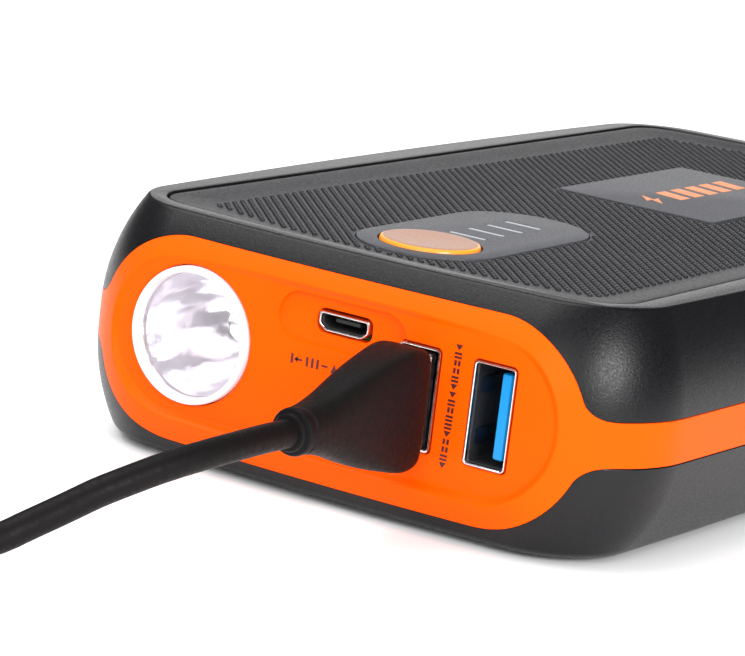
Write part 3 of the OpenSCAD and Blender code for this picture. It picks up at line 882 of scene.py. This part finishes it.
class PACK_OT_shells(Maker):
    """Makes the upper and lower black shells"""
    bl_idname = "pack.shells"
    bl_label = "Shells"

    def tools(self, gap, low, high):
        """Both racetracks, widened by the seam, and the room inside."""
        outline = race_outline(gap / 2, HALF_W + 6)
        inside = [(z, WALL) for z in heights(low, high, 1.2)]
        return ([prism(outline, *(side * y for y in END_CUT)) for side in (-1, 1)]
                + [barrel("tool", inside, along=12, across=10)])

    def close(self, shell, tools, node_name):
        cut(shell, tools)
        dress(shell, "shell")
        skin_normals(shell)
        hold(shell, "housing", "shell_plastic", node_name)

    def make(self, scene):
        gap = scene.pack_sizes.seam_gap / MM
        self.upper(gap)
        self.lower(gap)

    def upper(self, gap):
        base = BAND[1] + gap / 2
        levels = [(base, 0.16), (base + 0.05, 0.05), (base + 0.14, 0)]
        levels += [(z, 0) for z in heights(base + 0.5, 31.4, 0.45)]
        levels += [(31.65, 0), (31.83, 0.03), (31.94, 0.12), (BODY_H, 0.3)]
        shell = barrel("casing_upper", levels)
        rim = [(RECESS_Z, 0), (31.66, 0), (31.83, 0.06), (31.94, 0.16), (BODY_H, 0.32),
               (BODY_H + 0.5, 1.2)]
        tools = self.tools(gap, BAND[1] - 1, ROOF_Z)
        tools.append(rings_piece("tool", stacked([(top_outline(g), z) for z, g in rim]),
                                 "shell"))
        tools.append(upright(pill(16.6, 39.4, -64.5), ROOF_Z - 1, BODY_H + 2))
        self.close(shell, tools, "upper_shell")

    def lower(self, gap):
        top = BAND[0] - gap / 2
        levels = [(z, 0) for z in (0, 0.04, 0.12, 0.25, 0.42, 0.62, 0.86, 1.2)]
        levels += [(z, 0) for z in heights(1.7, top - 0.5, 0.5)]
        levels += [(top - 0.14, 0), (top - 0.05, 0.05), (top, 0.16)]
        shell = barrel("casing_lower", levels)
        tools = self.tools(gap, FLOOR_Z, BAND[0] + 1)
        tools += [upright(disc(x, y, 2.9, 40), -1, 2.2) for x, y in SCREWS]
        self.close(shell, tools, "lower_shell")


class PACK_OT_frame(Maker):
    """Makes the orange frame: the band and the two racetrack fascias"""
    bl_idname = "pack.frame"
    bl_label = "Orange frame"

    step_out, step_in = 0.5, 0.6        # reach of the soft step about its outline
    step_rings = (-6, -3, -1.2, -0.8, -0.65, -0.5, -0.35, -0.2, -0.05, 0.1, 0.22, 0.33, 0.42,
                  0.5, 0.56)
    lamp_r = 9.25

    def make(self, scene):
        face_y = panel_face()
        form = self.form()
        tools = [self.inner()] + [self.recess(side, face_y) for side in (-1, 1)]
        tools += self.front_tools(face_y) + self.rear_tools(face_y)
        cut(form, tools)
        dress(form, "orange", True, 36)
        skin_normals(form)
        form.name = "orange_frame"
        hold(form, "housing", "orange_plastic", "mid_frame")

    def form(self):
        """The casing's form where the racetracks and the band cross it."""
        levels = [(z, 0) for z in heights(0.6, 31.4, 0.44)]
        form = barrel("orange_form", levels, "orange", along=60, across=60, steps=24)
        outline = race_outline(0, HALF_W + 4)
        keep = [prism(outline, *(side * y for y in END_CUT), "orange") for side in (-1, 1)]
        w, l = HALF_W + 5, HALF_L + 9
        slab = upright([(-w, -l), (w, -l), (w, l), (-w, l)], BAND[0] + 0.02, BAND[1] - 0.02)
        cut(slab, keep, "UNION")
        cut(form, [slab], "INTERSECT")
        return form

    def inner(self):
        """Inner room, which stops short of the wall behind each recess."""
        levels = [(z, WALL) for z in heights(-1.0, 33, 1.5)]
        room = barrel("tool", levels, "orange", along=20, across=20)
        pad = grown(stadium(*FACE), 1.4)
        cut(room, [prism(pad, side * FACE_BACK, side * 90) for side in (-1, 1)])
        return room

    def recess(self, side, face_y):
        """Recess with a soft step: it leaves the casing's surface just outside its outline."""
        outline = grown(stadium(*FACE, steps=48, straight=44), 0)
        reach = self.step_out + self.step_in
        rings = []
        for d in self.step_rings:
            ring = grown(outline, d)
            xs, zs = np.array(ring).T
            t = eased((d + self.step_in) / reach)
            y = face_y + (front_y(xs, zs) - face_y) * t + (0.3 if d > self.step_out else 0)
            rings.append([(x, side * v, z + FEET) for x, v, z in zip(xs, y, zs)])
        rings.append([(x, side * END_CUT[1], z) for x, _, z in rings[-1]])
        return rings_piece("tool", rings, "orange")

    def front_tools(self, face_y):
        """Openings of the front face: lamp, outlets, inlet and the inlet's shallow pocket."""
        x, z, _, _ = facing("lamp_lens")
        hole = disc(x, z, self.lamp_r, 96)
        tools = [rings_piece("tool", facing_rings(
            [hole, hole, grown(hole, 0.3)], [-60, 0.15 - face_y, -face_y - 0.15]), "orange")]
        for name in ("outlet_jack_left", "outlet_jack_right"):
            x, z, w, h = facing(name)
            tools.append(self.port_tool(w + 0.34, h + 0.34, 0.75, x, z, face_y))
        x, z, _, _ = facing("inlet_jack")
        tools.append(self.port_tool(8.3, 3.2, 1.1, x, z, face_y - 0.6))
        pocket = rounded_box_outline(19, 6.2, 3.05, x, z - 0.1, 16)
        tools.append(rings_piece("tool", facing_rings(
            [grown(pocket, g) for g in (-0.25, -0.08, 0, 0.12, 0.12)],
            [0.62 - face_y, 0.56 - face_y, 0.4 - face_y, -0.02 - face_y, -face_y - 1]),
            "orange"))
        return tools

    def port_tool(self, w, h, r, x, z, face_y):
        """Port's opening with a small bevel at the face."""
        tight = rounded_box_outline(w, h, r, x, z)
        loose = rounded_box_outline(w + 0.3, h + 0.3, r + 0.15, x, z)
        return rings_piece("tool", facing_rings(
            [tight, tight, loose, loose], [-60, 0.15 - face_y, -face_y - 0.01, -face_y - 0.6]),
            "orange")

    def rear_tools(self, face_y):
        """Opening for the lead socket and the pocket for its cover."""
        hole = rounded_box_outline(24.6, 12.6, 3, 0, facing("jump_socket")[1], 10)
        cover_mid = extent("port_cover")[0][2] + 0.4 + 9 - FEET
        pocket = rounded_box_outline(30.6, 18.6, 3.3, 0, cover_mid, 10)
        return [prism(hole, 60, 90), prism(pocket, face_y - 0.5, 90)]


class PACK_OT_top(Maker):
    """Makes the dished top panel, its raised dots, the label pad and its mark"""
    bl_idname = "pack.top"
    bl_label = "Top panel"

    field_x, field_front, field_bow = 29.6, 68.3, 4.4
    label = (12.9, 0.3, 39.3)           # half width, front and rear edge
    plate = (19.6, 42.4, -66.0)         # width, length, front end
    dish = 0.3

    def field_end(self, x):
        """Reach of the field of dots along Y at x."""
        return self.field_front - self.field_bow * (x / self.field_x) ** 2

    def make(self, scene):
        sizes = scene.pack_sizes
        self.panel()
        self.pad()
        pitch = sizes.dot_pitch / MM
        row = sizes.dot_row / MM
        points = []
        crown = PANEL_TOP - self.dish + FEET
        rows = int(self.field_front / row)
        for j in range(-rows, rows + 1):
            y = j * row
            shift = pitch / 2 if j % 2 else 0
            for i in range(-30, 31):
                x = i * pitch + shift
                if abs(x) > self.field_x - 0.3 or abs(y) > self.field_end(x) - 0.3:
                    continue
                if self.in_pad(x, y, 0.55) or self.in_plate(x, y, 0.6):
                    continue
                points.append((x, y, crown - 0.04))
        dots = repeat("raised_dots", points, dots_tree, "panel",
                      Base_Radius=sizes.dot_base, Top_Radius=sizes.dot_top,
                      Height=sizes.dot_height, Sides=sizes.dot_sides)
        hold(dots, "housing", "panel_plastic", "top_panel")

    def in_pad(self, x, y, room):
        """Whether a dot would come within room of the label pad."""
        half, front, rear = self.label
        return abs(x) < half + room and front - room < y < rear + room

    def in_plate(self, x, y, room):
        """Whether a dot would come within room of the button plate."""
        w, l, front = self.plate
        r = w / 2
        cy = min(max(y, front + r), front + l - r)
        return math.hypot(x, y - cy) < r + room

    def panel(self):
        """Panel whose border slopes gently down to the field of dots."""
        low_z = PANEL_TOP - self.dish
        edge = top_outline(-0.3)
        field = []
        for x, y in edge:
            fx = max(-self.field_x, min(self.field_x, x * self.field_x / (TOP_HALF_W - 0.3)))
            fy = y * self.field_end(fx) / (TOP_HALF_L * (1 - END_BOW / TOP_HALF_L
                                                       * (x / TOP_HALF_W) ** 2) - 0.3)
            field.append((fx, fy))
        levels = ((RECESS_Z + 0.02, 0), (31.62, 0), (31.74, -0.05), (31.8, -0.2))
        rings = stacked([(grown(edge, g), z) for z, g in levels])
        start = grown(edge, -0.2)
        for t in (0.12, 0.3, 0.5, 0.7, 0.86, 0.95, 1.0):
            rings.append([(a[0] + (b[0] - a[0]) * t, a[1] + (b[1] - a[1]) * t,
                           31.8 + (low_z - 31.8) * eased(t) + FEET)
                          for a, b in zip(start, field)])
        made = rings_piece("panel_border", rings, "panel")
        outline = pill(self.plate[0] + 0.3, self.plate[1] + 0.3, self.plate[2] - 0.15)
        cut(made, [upright(outline, *THROUGH)])
        dress(made, "panel")
        hold(made, "housing", "panel_plastic", "top_panel")

    def pad(self):
        """Label pad, a little above the field of dots."""
        half, front, rear = self.label
        low_z = PANEL_TOP - self.dish
        cy, hl = (front + rear) / 2, (rear - front) / 2
        levels = ((low_z - 0.3, 0), (low_z + 0.16, 0), (low_z + 0.24, -0.06),
                  (low_z + 0.27, -0.18))
        rings = [[(x, y + cy, z + FEET) for x, y in plan(half + g, hl + g, 0.8, 3, 3, 5)]
                 for z, g in levels]
        made = rings_piece("label_pad", rings, "plate")
        hold(made, "housing", "plate_plastic", "top_panel")
        self.mark(low_z + 0.27 + FEET)

    def mark(self, z):
        """Generic charging mark: a bolt and a row of leaning blocks, reading along +Y."""
        shapes = [[(2.3, 5.6), (-0.4, 9.2), (-0.2, 7.5), (-2.9, 8.7), (-0.1, 5.2), (-0.3, 6.9)]]
        for k in range(5):
            y = 11.6 + 4.6 * k
            shapes.append([(2.2, y), (-2.8, y + 1.2), (-2.8, y + 4.2), (2.2, y + 3.0)])
        flat_marks("pad_mark", [[(x - 0.5, y, z - 0.02) for x, y in s] for s in shapes],
                   (0, 0, 0.05), "pale_ink", "plate_plastic")


def flat_marks(name, shapes, lift, finish_key, slot_name):
    """Thin raised marks from outlines, one object."""
    parts = []
    for shape in shapes:
        over = [tuple(a + b for a, b in zip(p, lift)) for p in shape]
        parts.append(rings_piece("mark", [shape, over], finish_key, smooth=False))
    hold(joined(name, parts, finish_key), "housing", slot_name)


class PACK_OT_controls(Maker):
    """Makes the plate, its charge bars and the power button"""
    bl_idname = "pack.controls"
    bl_label = "Plate and button"

    cap_r = 6.7

    def make(self, scene):
        low, high = extent("button_plate")
        top = high[2] - FEET
        outline = pill(high[0] - low[0], high[1] - low[1], low[1])
        levels = ((RECESS_Z + 0.02, 0), (top - 0.02, 0), (top + 0.1, -0.05), (top + 0.16, -0.2))
        plate = rings_piece("smooth_plate",
                            stacked([(grown(outline, g), z) for z, g in levels]), "plate")
        button = middle("power_button")
        low, high = extent("charge_bars")
        half = (high[0] - low[0]) / 2
        rows = [low[1] + 0.5 + 4.9 * k for k in range(4)]
        slot = plan(half + 0.06, 0.56, 0.3, 0, 0, 4)
        tools = [upright(disc(button[0], button[1], self.cap_r + 0.3, 96), *THROUGH)]
        tools += [upright([(x, y + row) for x, y in slot], *THROUGH) for row in rows]
        cut(plate, tools)
        dress(plate, "plate")
        hold(plate, "housing", "plate_plastic", "button_plate")
        self.bars(rows, half, top + 0.16, low[2])
        low, high = extent("power_button")
        self.cap(button, self.cap_r, high[2], low[2])

    def bars(self, rows, half, top, bottom):
        """Charge bars, copies of one."""
        levels = ((bottom, 0), (top + FEET - 0.08, 0), (top + FEET - 0.01, -0.08))
        rings = [[(x, y, z) for x, y in plan(half + g, 0.5 + g, 0.28 + g, 0, 0, 4)]
                 for z, g in levels]
        shape = rings_piece("shape", rings, "bars")
        made = copies("charge_light_bars", [(0, row, 0) for row in rows], shape, "bars")
        hold(made, "housing", "light_bar", "charge_bars")

    def cap(self, centre, r, top, bottom):
        """Button: a shallow domed crown inside a ring with its sides and stem."""
        crown = [(0, top - 0.22), (2, top - 0.2), (4, top - 0.12), (5.4, top - 0.02),
                 (6.05, top), (6.3, top - 0.06), (6.3, top - 0.5), (0, top - 0.5)]
        cap = turned("button_crown", crown, centre, "crown", 96, "z")
        hold(cap, "button", "button_plastic", "power_button")
        sides = [(0, top - 0.5), (6.3, top - 0.5), (6.3, top - 0.07), (6.55, top - 0.16),
                 (r, top - 0.4), (r, top - 1.7), (r + 0.8, top - 1.7), (r + 0.8, top - 2.5),
                 (1.5, top - 2.5), (1.5, bottom), (0, bottom)]
        made = turned("button_sides", sides, centre, "button", 96, "z")
        hold(made, "button", "button_plastic", "power_button")


class PACK_OT_lamp(Maker):
    """Makes the lamp: lens, raised ring, faceted reflector and emitter"""
    bl_idname = "pack.lamp"
    bl_label = "Lamp"

    def make(self, scene):
        centre = middle("lamp_lens")
        front = -extent("lamp_lens")[0][1]
        ring = lathe("lamp_ring", [(9.1, front - 3), (9.1, front - 0.35), (9.0, front - 0.12),
                                   (8.8, front), (8.5, front), (8.3, front - 0.1),
                                   (8.2, front - 0.35), (8.12, front - 1.7),
                                   (8.3, front - 1.8), (8.3, front - 3)],
                     centre, "ring", 96)
        hold(ring, "housing", "clear_lens", "lamp_lens")
        lens = turned("lamp_window", [(0, front - 1.05), (4, front - 1.1), (8.1, front - 1.25),
                                      (8.1, front - 1.65), (0, front - 1.6)],
                      centre, "glass", 96)
        hold(lens, "housing", "clear_lens", "lamp_lens")
        self.reflector(centre)
        back = -extent("lamp_led")[1][1]
        emitter = turned("lamp_emitter", [(0, back + 1.9), (0.5, back + 1.85),
                                          (0.9, back + 1.65), (1.15, back + 1.3),
                                          (1.2, back + 1.0), (1.7, back + 1.0),
                                          (1.7, back), (0, back)], centre, "emitter", 48)
        hold(emitter, "housing", "lamp_emitter", "lamp_led")

    def reflector(self, centre):
        """Bowl with shallow facets that step round and along it."""
        low, high = extent("lamp_reflector")
        back, front = -high[1], -low[1]
        steps, rows = 96, 24
        rim, root = front + 0.6, back + 0.4
        inner = [(2.0 + 6.25 * math.sqrt(i / rows), root + (rim - root) * i / rows)
                 for i in range(rows + 1)]
        outer = [(9.0, rim), (9.0, front - 0.4), (8.9, front - 1.0)]
        outer += [(r + 0.8, d - 0.5) for r, d in inner[::-1]
                  if d - 0.5 > back + 0.5 and d < front - 1.2]
        outer += [(2.6, back), (2.0, back)]
        put = spin(centre, "y")
        rings = []
        for k in range(steps):
            t = 2 * math.pi * k / steps
            rings.append([put(r + 0.05 * math.cos(6 * t + 1.3 * math.sin(i * 0.7)) * i / rows,
                              d, t) for i, (r, d) in enumerate(inner)]
                         + [put(r, d, t) for r, d in outer])
        # The bowl's finish carries a slight painted glow.
        made = rings_piece("lamp_bowl", rings, "mirror", closed=True)
        hold(made, "housing", "mirror_reflector", "lamp_reflector")


class PACK_OT_ports(Maker):
    """Makes the charging outlets, the inlet and their generic marks"""
    bl_idname = "pack.ports"
    bl_label = "Ports"

    # growth and corner radius of an outlet's rim, from its rear round the lip and inside
    lip = ((-0.05, 0.6), (0, 0.62), (0, 0.62), (-0.1, 0.58), (-0.3, 0.5), (-0.52, 0.4),
           (-0.62, 0.35), (-0.62, 0.35))

    def make(self, scene):
        for side in ("left", "right"):
            self.outlet(side)
        self.inlet()
        self.marks()

    def outlet(self, side):
        """Upright outlet: steel rim, blue carrier, black lining and contact springs."""
        name = "outlet_jack_" + side
        x, z, w, h = facing(name)
        face, rear = (corner[1] for corner in extent(name))

        def loop(dw, r):
            return rounded_box_outline(w + dw, h + dw, r, x, z)

        rim("outlet_rim_" + side, name, [loop(*size) for size in self.lip],
            (0.12, 0.02, 0, 0.08, 0.4), 0.7)
        blade("carrier_" + side, "outlet_tongue_" + side, (0.3, 0.2), 0.3, 0.2, "tongue",
              "blue_tongue")
        lining("outlet_liner_" + side, [loop(-g, 0.3) for g in (0.66, 0.66, 0.9, 0.9)],
               [rear - 0.75, face + 0.7, face + 0.7, rear - 0.75], closed=True)
        lining("outlet_floor_" + side, [loop(-0.7, 0.3)] * 2, [rear - 0.75, rear - 2.2])
        springs = []
        for dz in (-3.3, 3.3):
            wide = rounded_box_outline(0.5, 2.2, 0.2, x - w / 2 + 0.5, z + dz)
            slim = rounded_box_outline(0.16, 2.2, 0.07, x - w / 2 + 0.36, z + dz)
            springs.append(rings_piece("spring", facing_rings(
                [slim, wide, wide, slim], [face + 1.4, face + 3.2, face + 4.6, face + 6.4]),
                "steel"))
        made = joined("outlet_springs_" + side, springs, "dark_steel")
        hold(made, "housing", "port_steel")

    def inlet(self):
        """Flat inlet with two cut corners, its blade and its five contacts."""
        x, z, _, _ = facing("inlet_jack")
        face, rear = (corner[1] for corner in extent("inlet_jack"))

        def loop(grow):
            w, h = 3.72 + grow, 1.22 + grow
            corners = [(w, h), (-w, h), (-w, -0.35), (-w + 0.95, -h), (w - 0.95, -h),
                       (w, -0.35)]
            return rounded_polygon(corners, 0.32, x, z)

        rim("inlet_rim", "inlet_jack",
            [loop(g) for g in (0, 0, 0, -0.05, -0.13, -0.24, -0.27, -0.27)],
            (0.1, 0.02, 0, 0.06, 0.3), 0.5)
        lining("inlet_liner", [loop(g) for g in (-0.3, -0.3, -0.42, -0.42)],
               [rear - 0.6, face + 0.5, face + 0.5, rear - 0.6], closed=True)
        lining("inlet_floor", [loop(-0.44)] * 2, [rear - 0.6, rear - 1.2])
        blade("inlet_blade", "inlet_tongue", (0.15, 0.1), 0.2, 0.15, "black", "black_insert")
        x, z, _, h = facing("inlet_tongue")
        low, high = extent("inlet_tongue")
        pins = [(x - 1.3 + 0.65 * k, 0, 0) for k in range(5)]
        strip = rounded_box_outline(0.24, 0.1, 0.04, 0, z + h / 2 + 0.03, 2)
        shape = rings_piece("shape", facing_rings([strip, strip],
                                                  [high[1] - 0.2, low[1] + 0.3]), "brass")
        made = copies("inlet_contacts", pins, shape, "brass")
        hold(made, "housing", "brass_contact")

    def marks(self):
        """Generic marks in place of captions: one row by the inlet, one up by the outlets."""
        y = 0.01 - panel_face()

        def bar(x, z, w, h):
            return [(x, z), (x + w, z), (x + w, z + h), (x, z + h)]

        shapes = [bar(0, 0, 0.35, 1.25), bar(0.75, 0.5, 0.95, 0.25),
                  [(0.45, 0.62), (1.05, 0.2), (1.05, 1.05)]]
        shapes += [bar(x, 0, 0.35, 1.25) for x in (2.3, 3.1, 3.9)]
        shapes += [bar(4.7, 0.5, 0.9, 0.25), [(6.1, 0), (7.1, 0), (6.6, 1.2)]]
        flat_marks("inlet_mark", [[(px - 5.7, y, pz + 16.75 + FEET) for px, pz in s]
                                  for s in shapes], (0, -0.04, 0), "ink", "orange_plastic")
        start, pitch = 24.5, 1.01
        shapes = []
        for k, kind in enumerate("tboobttbobbtoobt"):       # triangle, bars across, bars along
            z = start - pitch * k
            if kind == "t":
                shapes.append([(0, z), (1.05, z), (0.5, z - 0.75)])
            elif kind == "b":
                shapes += [bar(0, z, 1.05, -0.3), bar(0, z - 0.5, 1.05, -0.28)]
            else:
                shapes += [bar(x, z, 0.35, -0.7) for x in (0.1, 0.65)]
        flat_marks("outlet_mark", [[(px + 18.05 - 0.35 * (start - pz) / 16, y, pz + FEET)
                                    for px, pz in s] for s in shapes],
                   (0, -0.04, 0), "ink", "orange_plastic")


def rim(name, node_name, outlines, lips, inside):
    """Steel rim of a port: from its rear, round the lip at these depths, and back inside."""
    face, rear = (corner[1] for corner in extent(node_name))
    ys = [rear, rear - 0.1] + [face + lip for lip in lips] + [rear - inside]
    made = rings_piece(name, facing_rings(outlines, ys), "steel", angle=40)
    hold(made, "housing", "port_steel", node_name)


def blade(name, node_name, rounds, slimmer, bevel, finish_key, slot_name):
    """Contact carrier of a port, with a bevelled tip."""
    x, z, w, h = facing(node_name)
    low, high = extent(node_name)
    body = rounded_box_outline(w, h, rounds[0], x, z)
    tip = rounded_box_outline(w - slimmer, h - slimmer, rounds[1], x, z)
    made = rings_piece(name, facing_rings([body, body, tip],
                                          [high[1], low[1] + bevel, low[1]]), finish_key)
    hold(made, "housing", slot_name, node_name)


def lining(name, outlines, ys, closed=False):
    """Black part inside a port."""
    hold(rings_piece(name, facing_rings(outlines, ys), "black", closed=closed),
         "housing", "black_insert")


def rounded_polygon(corners, r, cx, cz, steps=4):
    """Polygon with small rounded corners, anticlockwise."""
    out = []
    count = len(corners)
    for i in range(count):
        a, b, c = (Vector(corners[(i + k) % count]) for k in (-1, 0, 1))
        start, end = b + (a - b).normalized() * r, b + (c - b).normalized() * r
        for k in range(steps + 1):
            t = k / steps
            p = start * (1 - t) ** 2 + b * 2 * t * (1 - t) + end * t * t
            out.append((cx + p.x, cz + p.y))
    return out


class PACK_OT_rear(Maker):
    """Makes the jump lead socket, its contacts and its rubber cover"""
    bl_idname = "pack.rear"
    bl_label = "Rear socket"

    def make(self, scene):
        z = middle("jump_socket")[2] - FEET
        low, high = extent("jump_socket")
        w, h, y1 = high[0] - low[0], high[2] - low[2], high[1]
        outlines = [rounded_box_outline(w + g, h + g, 2.8, 0, z, 8) for g in (0, 0, -0.2, -0.6)]
        block = rings_piece("lead_socket",
                            facing_rings(outlines, [low[1], y1 - 0.3, y1 - 0.08, y1]), "black")
        tools = []
        for x in (-5, 5):
            tight, wide = (disc(x, z, r, 56) for r in (3.2, 3.52))
            tools.append(rings_piece("tool", facing_rings(
                [tight, tight, wide], [50, y1 - 0.3, y1 + 0.2]), "black"))
        cut(block, tools)
        dress(block, "black")
        hold(block, "housing", "black_insert", "jump_socket")
        y0, y1 = (corner[1] for corner in extent("jump_contacts"))
        profile = [(0, y0), (3.15, y0), (3.15, y1 - 0.2), (2.95, y1), (2.75, y1),
                   (2.5, y1 - 0.3), (2.5, y0 + 2), (0, y0 + 2)]
        shape = turned("shape", [(r, -d) for r, d in profile], (0, 0, z + FEET), "brass", 48)
        made = copies("lead_contacts", [(-5, 0, 0), (5, 0, 0)], shape, "brass")
        hold(made, "housing", "brass_contact", "jump_contacts")
        self.cover()

    def cover(self):
        """Flap with its finger tab, its hinge bead and the ridge that seals the socket."""
        low, high = extent("port_cover")
        w = high[0] - low[0]
        pin_z, pin_y = low[2] + 0.4 - FEET, high[1] - 0.4
        mid = pin_z + 9
        outlines = [rounded_box_outline(w + g, 18 + g, 3, 0, mid, 10)
                    for g in (0, 0, -0.15, -0.5)]
        plate = rings_piece("flap", facing_rings(
            outlines, [low[1], pin_y - 0.25, pin_y - 0.08, pin_y]), "cover")
        tab = [rounded_box_outline(16 + g, 1.7 + g, 0.6, 0, pin_z + 15.8, 6)
               for g in (0.6, 0, -0.5)]
        tab = rings_piece("tab", facing_rings(tab, [pin_y - 0.1, pin_y + 0.2, pin_y + 0.38]),
                          "cover")
        rings = [[(x, y, z) for y, z in disc(pin_y, pin_z + FEET, r, 24)]
                 for x, r in ((-12, 0.3), (-11.9, 0.4), (11.9, 0.4), (12, 0.3))]
        bead = rings_piece("bead", rings, "cover")
        ridge = [rounded_box_outline(w - 5 + g, 13 + g, 2, 0, mid - 0.4, 8) for g in (0, -0.4)]
        inner = [rounded_box_outline(w - 6.4 + g, 11.6 + g, 1.4, 0, mid - 0.4, 8)
                 for g in (0, 0.4)]
        frame_rings = facing_rings([ridge[0], ridge[1], inner[1], inner[0]],
                                   [pin_y - 0.05, pin_y + 0.15, pin_y + 0.15, pin_y - 0.05])
        frame_part = rings_piece("ridge", frame_rings, "cover", closed=True)
        made = joined("rubber_cover", [plate, tab, bead, frame_part], "cover")
        hold(made, "cover", "cover_rubber", "port_cover")


class PACK_OT_fasteners(Maker):
    """Makes the case screws and the rubber feet"""
    bl_idname = "pack.fasteners"
    bl_label = "Screws and feet"

    def make(self, scene):
        profile = [(0, 1.35), (1.6, 1.32), (2.3, 1.42), (2.6, 1.7), (2.6, 3.0), (1.1, 3.0),
                   (1.1, 22.8), (0, 22.8)]
        screw = turned("shape", profile, (0, 0, 0), "dark_steel", 32, "z")
        cut(screw, [upright([(a, -b), (a, b), (-a, b), (-a, -b)], 0, 1.5)
                    for a, b in ((1.5, 0.28), (0.28, 1.5))])
        made = copies("case_screw_set", [(x, y, 0) for x, y in SCREWS], screw, "dark_steel")
        hold(made, "housing", "screw_steel", "case_screws")
        foot = turned("shape", [(0, 0.12), (3.4, 0.1), (4.3, 0), (4.75, 0.04), (4.95, 0.2),
                                (5, 0.62), (0, 0.62)], (0, 0, 0), "foot", 40, "z")
        made = copies("foot_pads", [(x, y, 0) for x, y in FEET_AT], foot, "foot")
        hold(made, "housing", "foot_rubber", "rubber_feet")


class PACK_OT_inside(Maker):
    """Gives the inner parts their finishes"""
    bl_idname = "pack.inside"
    bl_label = "Inner parts"

    looks = {
        "tact_switch": "nickel", "button_board": "board", "charge_leds": "white",
        "lamp_board": "board", "inlet_board": "board", "main_board": "board",
        "battery_cell_1": "foil", "battery_cell_2": "foil", "battery_cell_3": "foil",
        "cell_foam": "foam", "cell_tabs": "nickel", "positive_lead": "red",
        "negative_lead": "black_lead", "board_screws": "dark_steel",
    }

    def make(self, scene):
        for name, look in self.looks.items():
            repaint(name, look)


class PACK_OT_stage(Maker):
    """Makes the pale floor and the soft studio light"""
    bl_idname = "pack.stage"
    bl_label = "Stage"

    reflected = 0.12
    lights = (
        # name, place, aim, size, power
        ("Key", (-0.35, -0.2, 0.9), (0, 0, 0), 0.9, 9.0),
        ("Front", (0.25, -1.1, 0.45), (0, -0.05, 0.01), 0.7, 5.0),
        ("Side", (0.95, -0.47, 0.44), (0.03, -0.06, 0.02), 0.34, 9.0),
        ("Back", (-0.6, 1.0, 0.32), (0, 0, 0.02), 0.6, 1.5),
    )

    def make(self, scene):
        size = 6000
        floor = piece("studio_floor", [(-size, -size, 0), (size, -size, 0), (size, size, 0),
                                       (-size, size, 0)], [(0, 1, 2, 3)], "floor", False)
        scene.view_settings.view_transform = "Standard"
        world = bpy.data.worlds.new("Studio")
        world.use_nodes = True
        scene.world = world
        tree = world.node_tree
        ground = tree.nodes["Background"]
        ground.inputs["Color"].default_value = (1, 1, 1, 1)
        ray = tree.nodes.new("ShaderNodeLightPath")
        dim = tree.nodes.new("ShaderNodeMapRange")
        dim.inputs["To Min"].default_value = 1.0
        dim.inputs["To Max"].default_value = self.reflected
        tree.links.new(ray.outputs["Is Glossy Ray"], dim.inputs["Value"])
        tree.links.new(dim.outputs["Result"], ground.inputs["Strength"])
        for name, place, aim, width, power in self.lights:
            lamp = bpy.data.lights.new(name, "AREA")
            lamp.size = width
            lamp.energy = power
            made = linked(name, lamp)
            made.location = place
            made.rotation_euler = (Vector(aim) - Vector(place)).to_track_quat("-Z", "Y").to_euler()


OPERATORS = (PACK_OT_camera, PACK_OT_cable, PACK_OT_shells, PACK_OT_frame, PACK_OT_top,
             PACK_OT_controls, PACK_OT_lamp, PACK_OT_ports, PACK_OT_rear, PACK_OT_fasteners,
             PACK_OT_inside, PACK_OT_stage)


class PACK_PT_panel(bpy.types.Panel):
    """Lists the pack's operators and settings"""
    bl_idname = "PACK_PT_panel"
    bl_label = "Jump Starter Pack"
    bl_space_type = "VIEW_3D"
    bl_region_type = "UI"
    bl_category = "Pack"

    def draw(self, context):
        for each in OPERATORS:
            self.layout.operator(each.bl_idname)
        for group in (context.scene.pack_sizes, context.scene.pack_colours):
            for key in group.__annotations__:
                self.layout.prop(group, key)


CLASSES = (PACK_PG_sizes, PACK_PG_colours) + OPERATORS + (PACK_PT_panel,)


def register():
    for each in CLASSES:
        bpy.utils.register_class(each)
    bpy.types.Scene.pack_sizes = PointerProperty(type=PACK_PG_sizes)
    bpy.types.Scene.pack_colours = PointerProperty(type=PACK_PG_colours)


def unregister():
    del bpy.types.Scene.pack_colours
    del bpy.types.Scene.pack_sizes
    for each in reversed(CLASSES):
        bpy.utils.unregister_class(each)


def main():
    """Runs every operator."""
    register()
    for each in OPERATORS:
        group, name = each.bl_idname.split(".")
        getattr(getattr(bpy.ops, group), name)()
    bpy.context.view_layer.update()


if __name__ == "__main__":
    main()
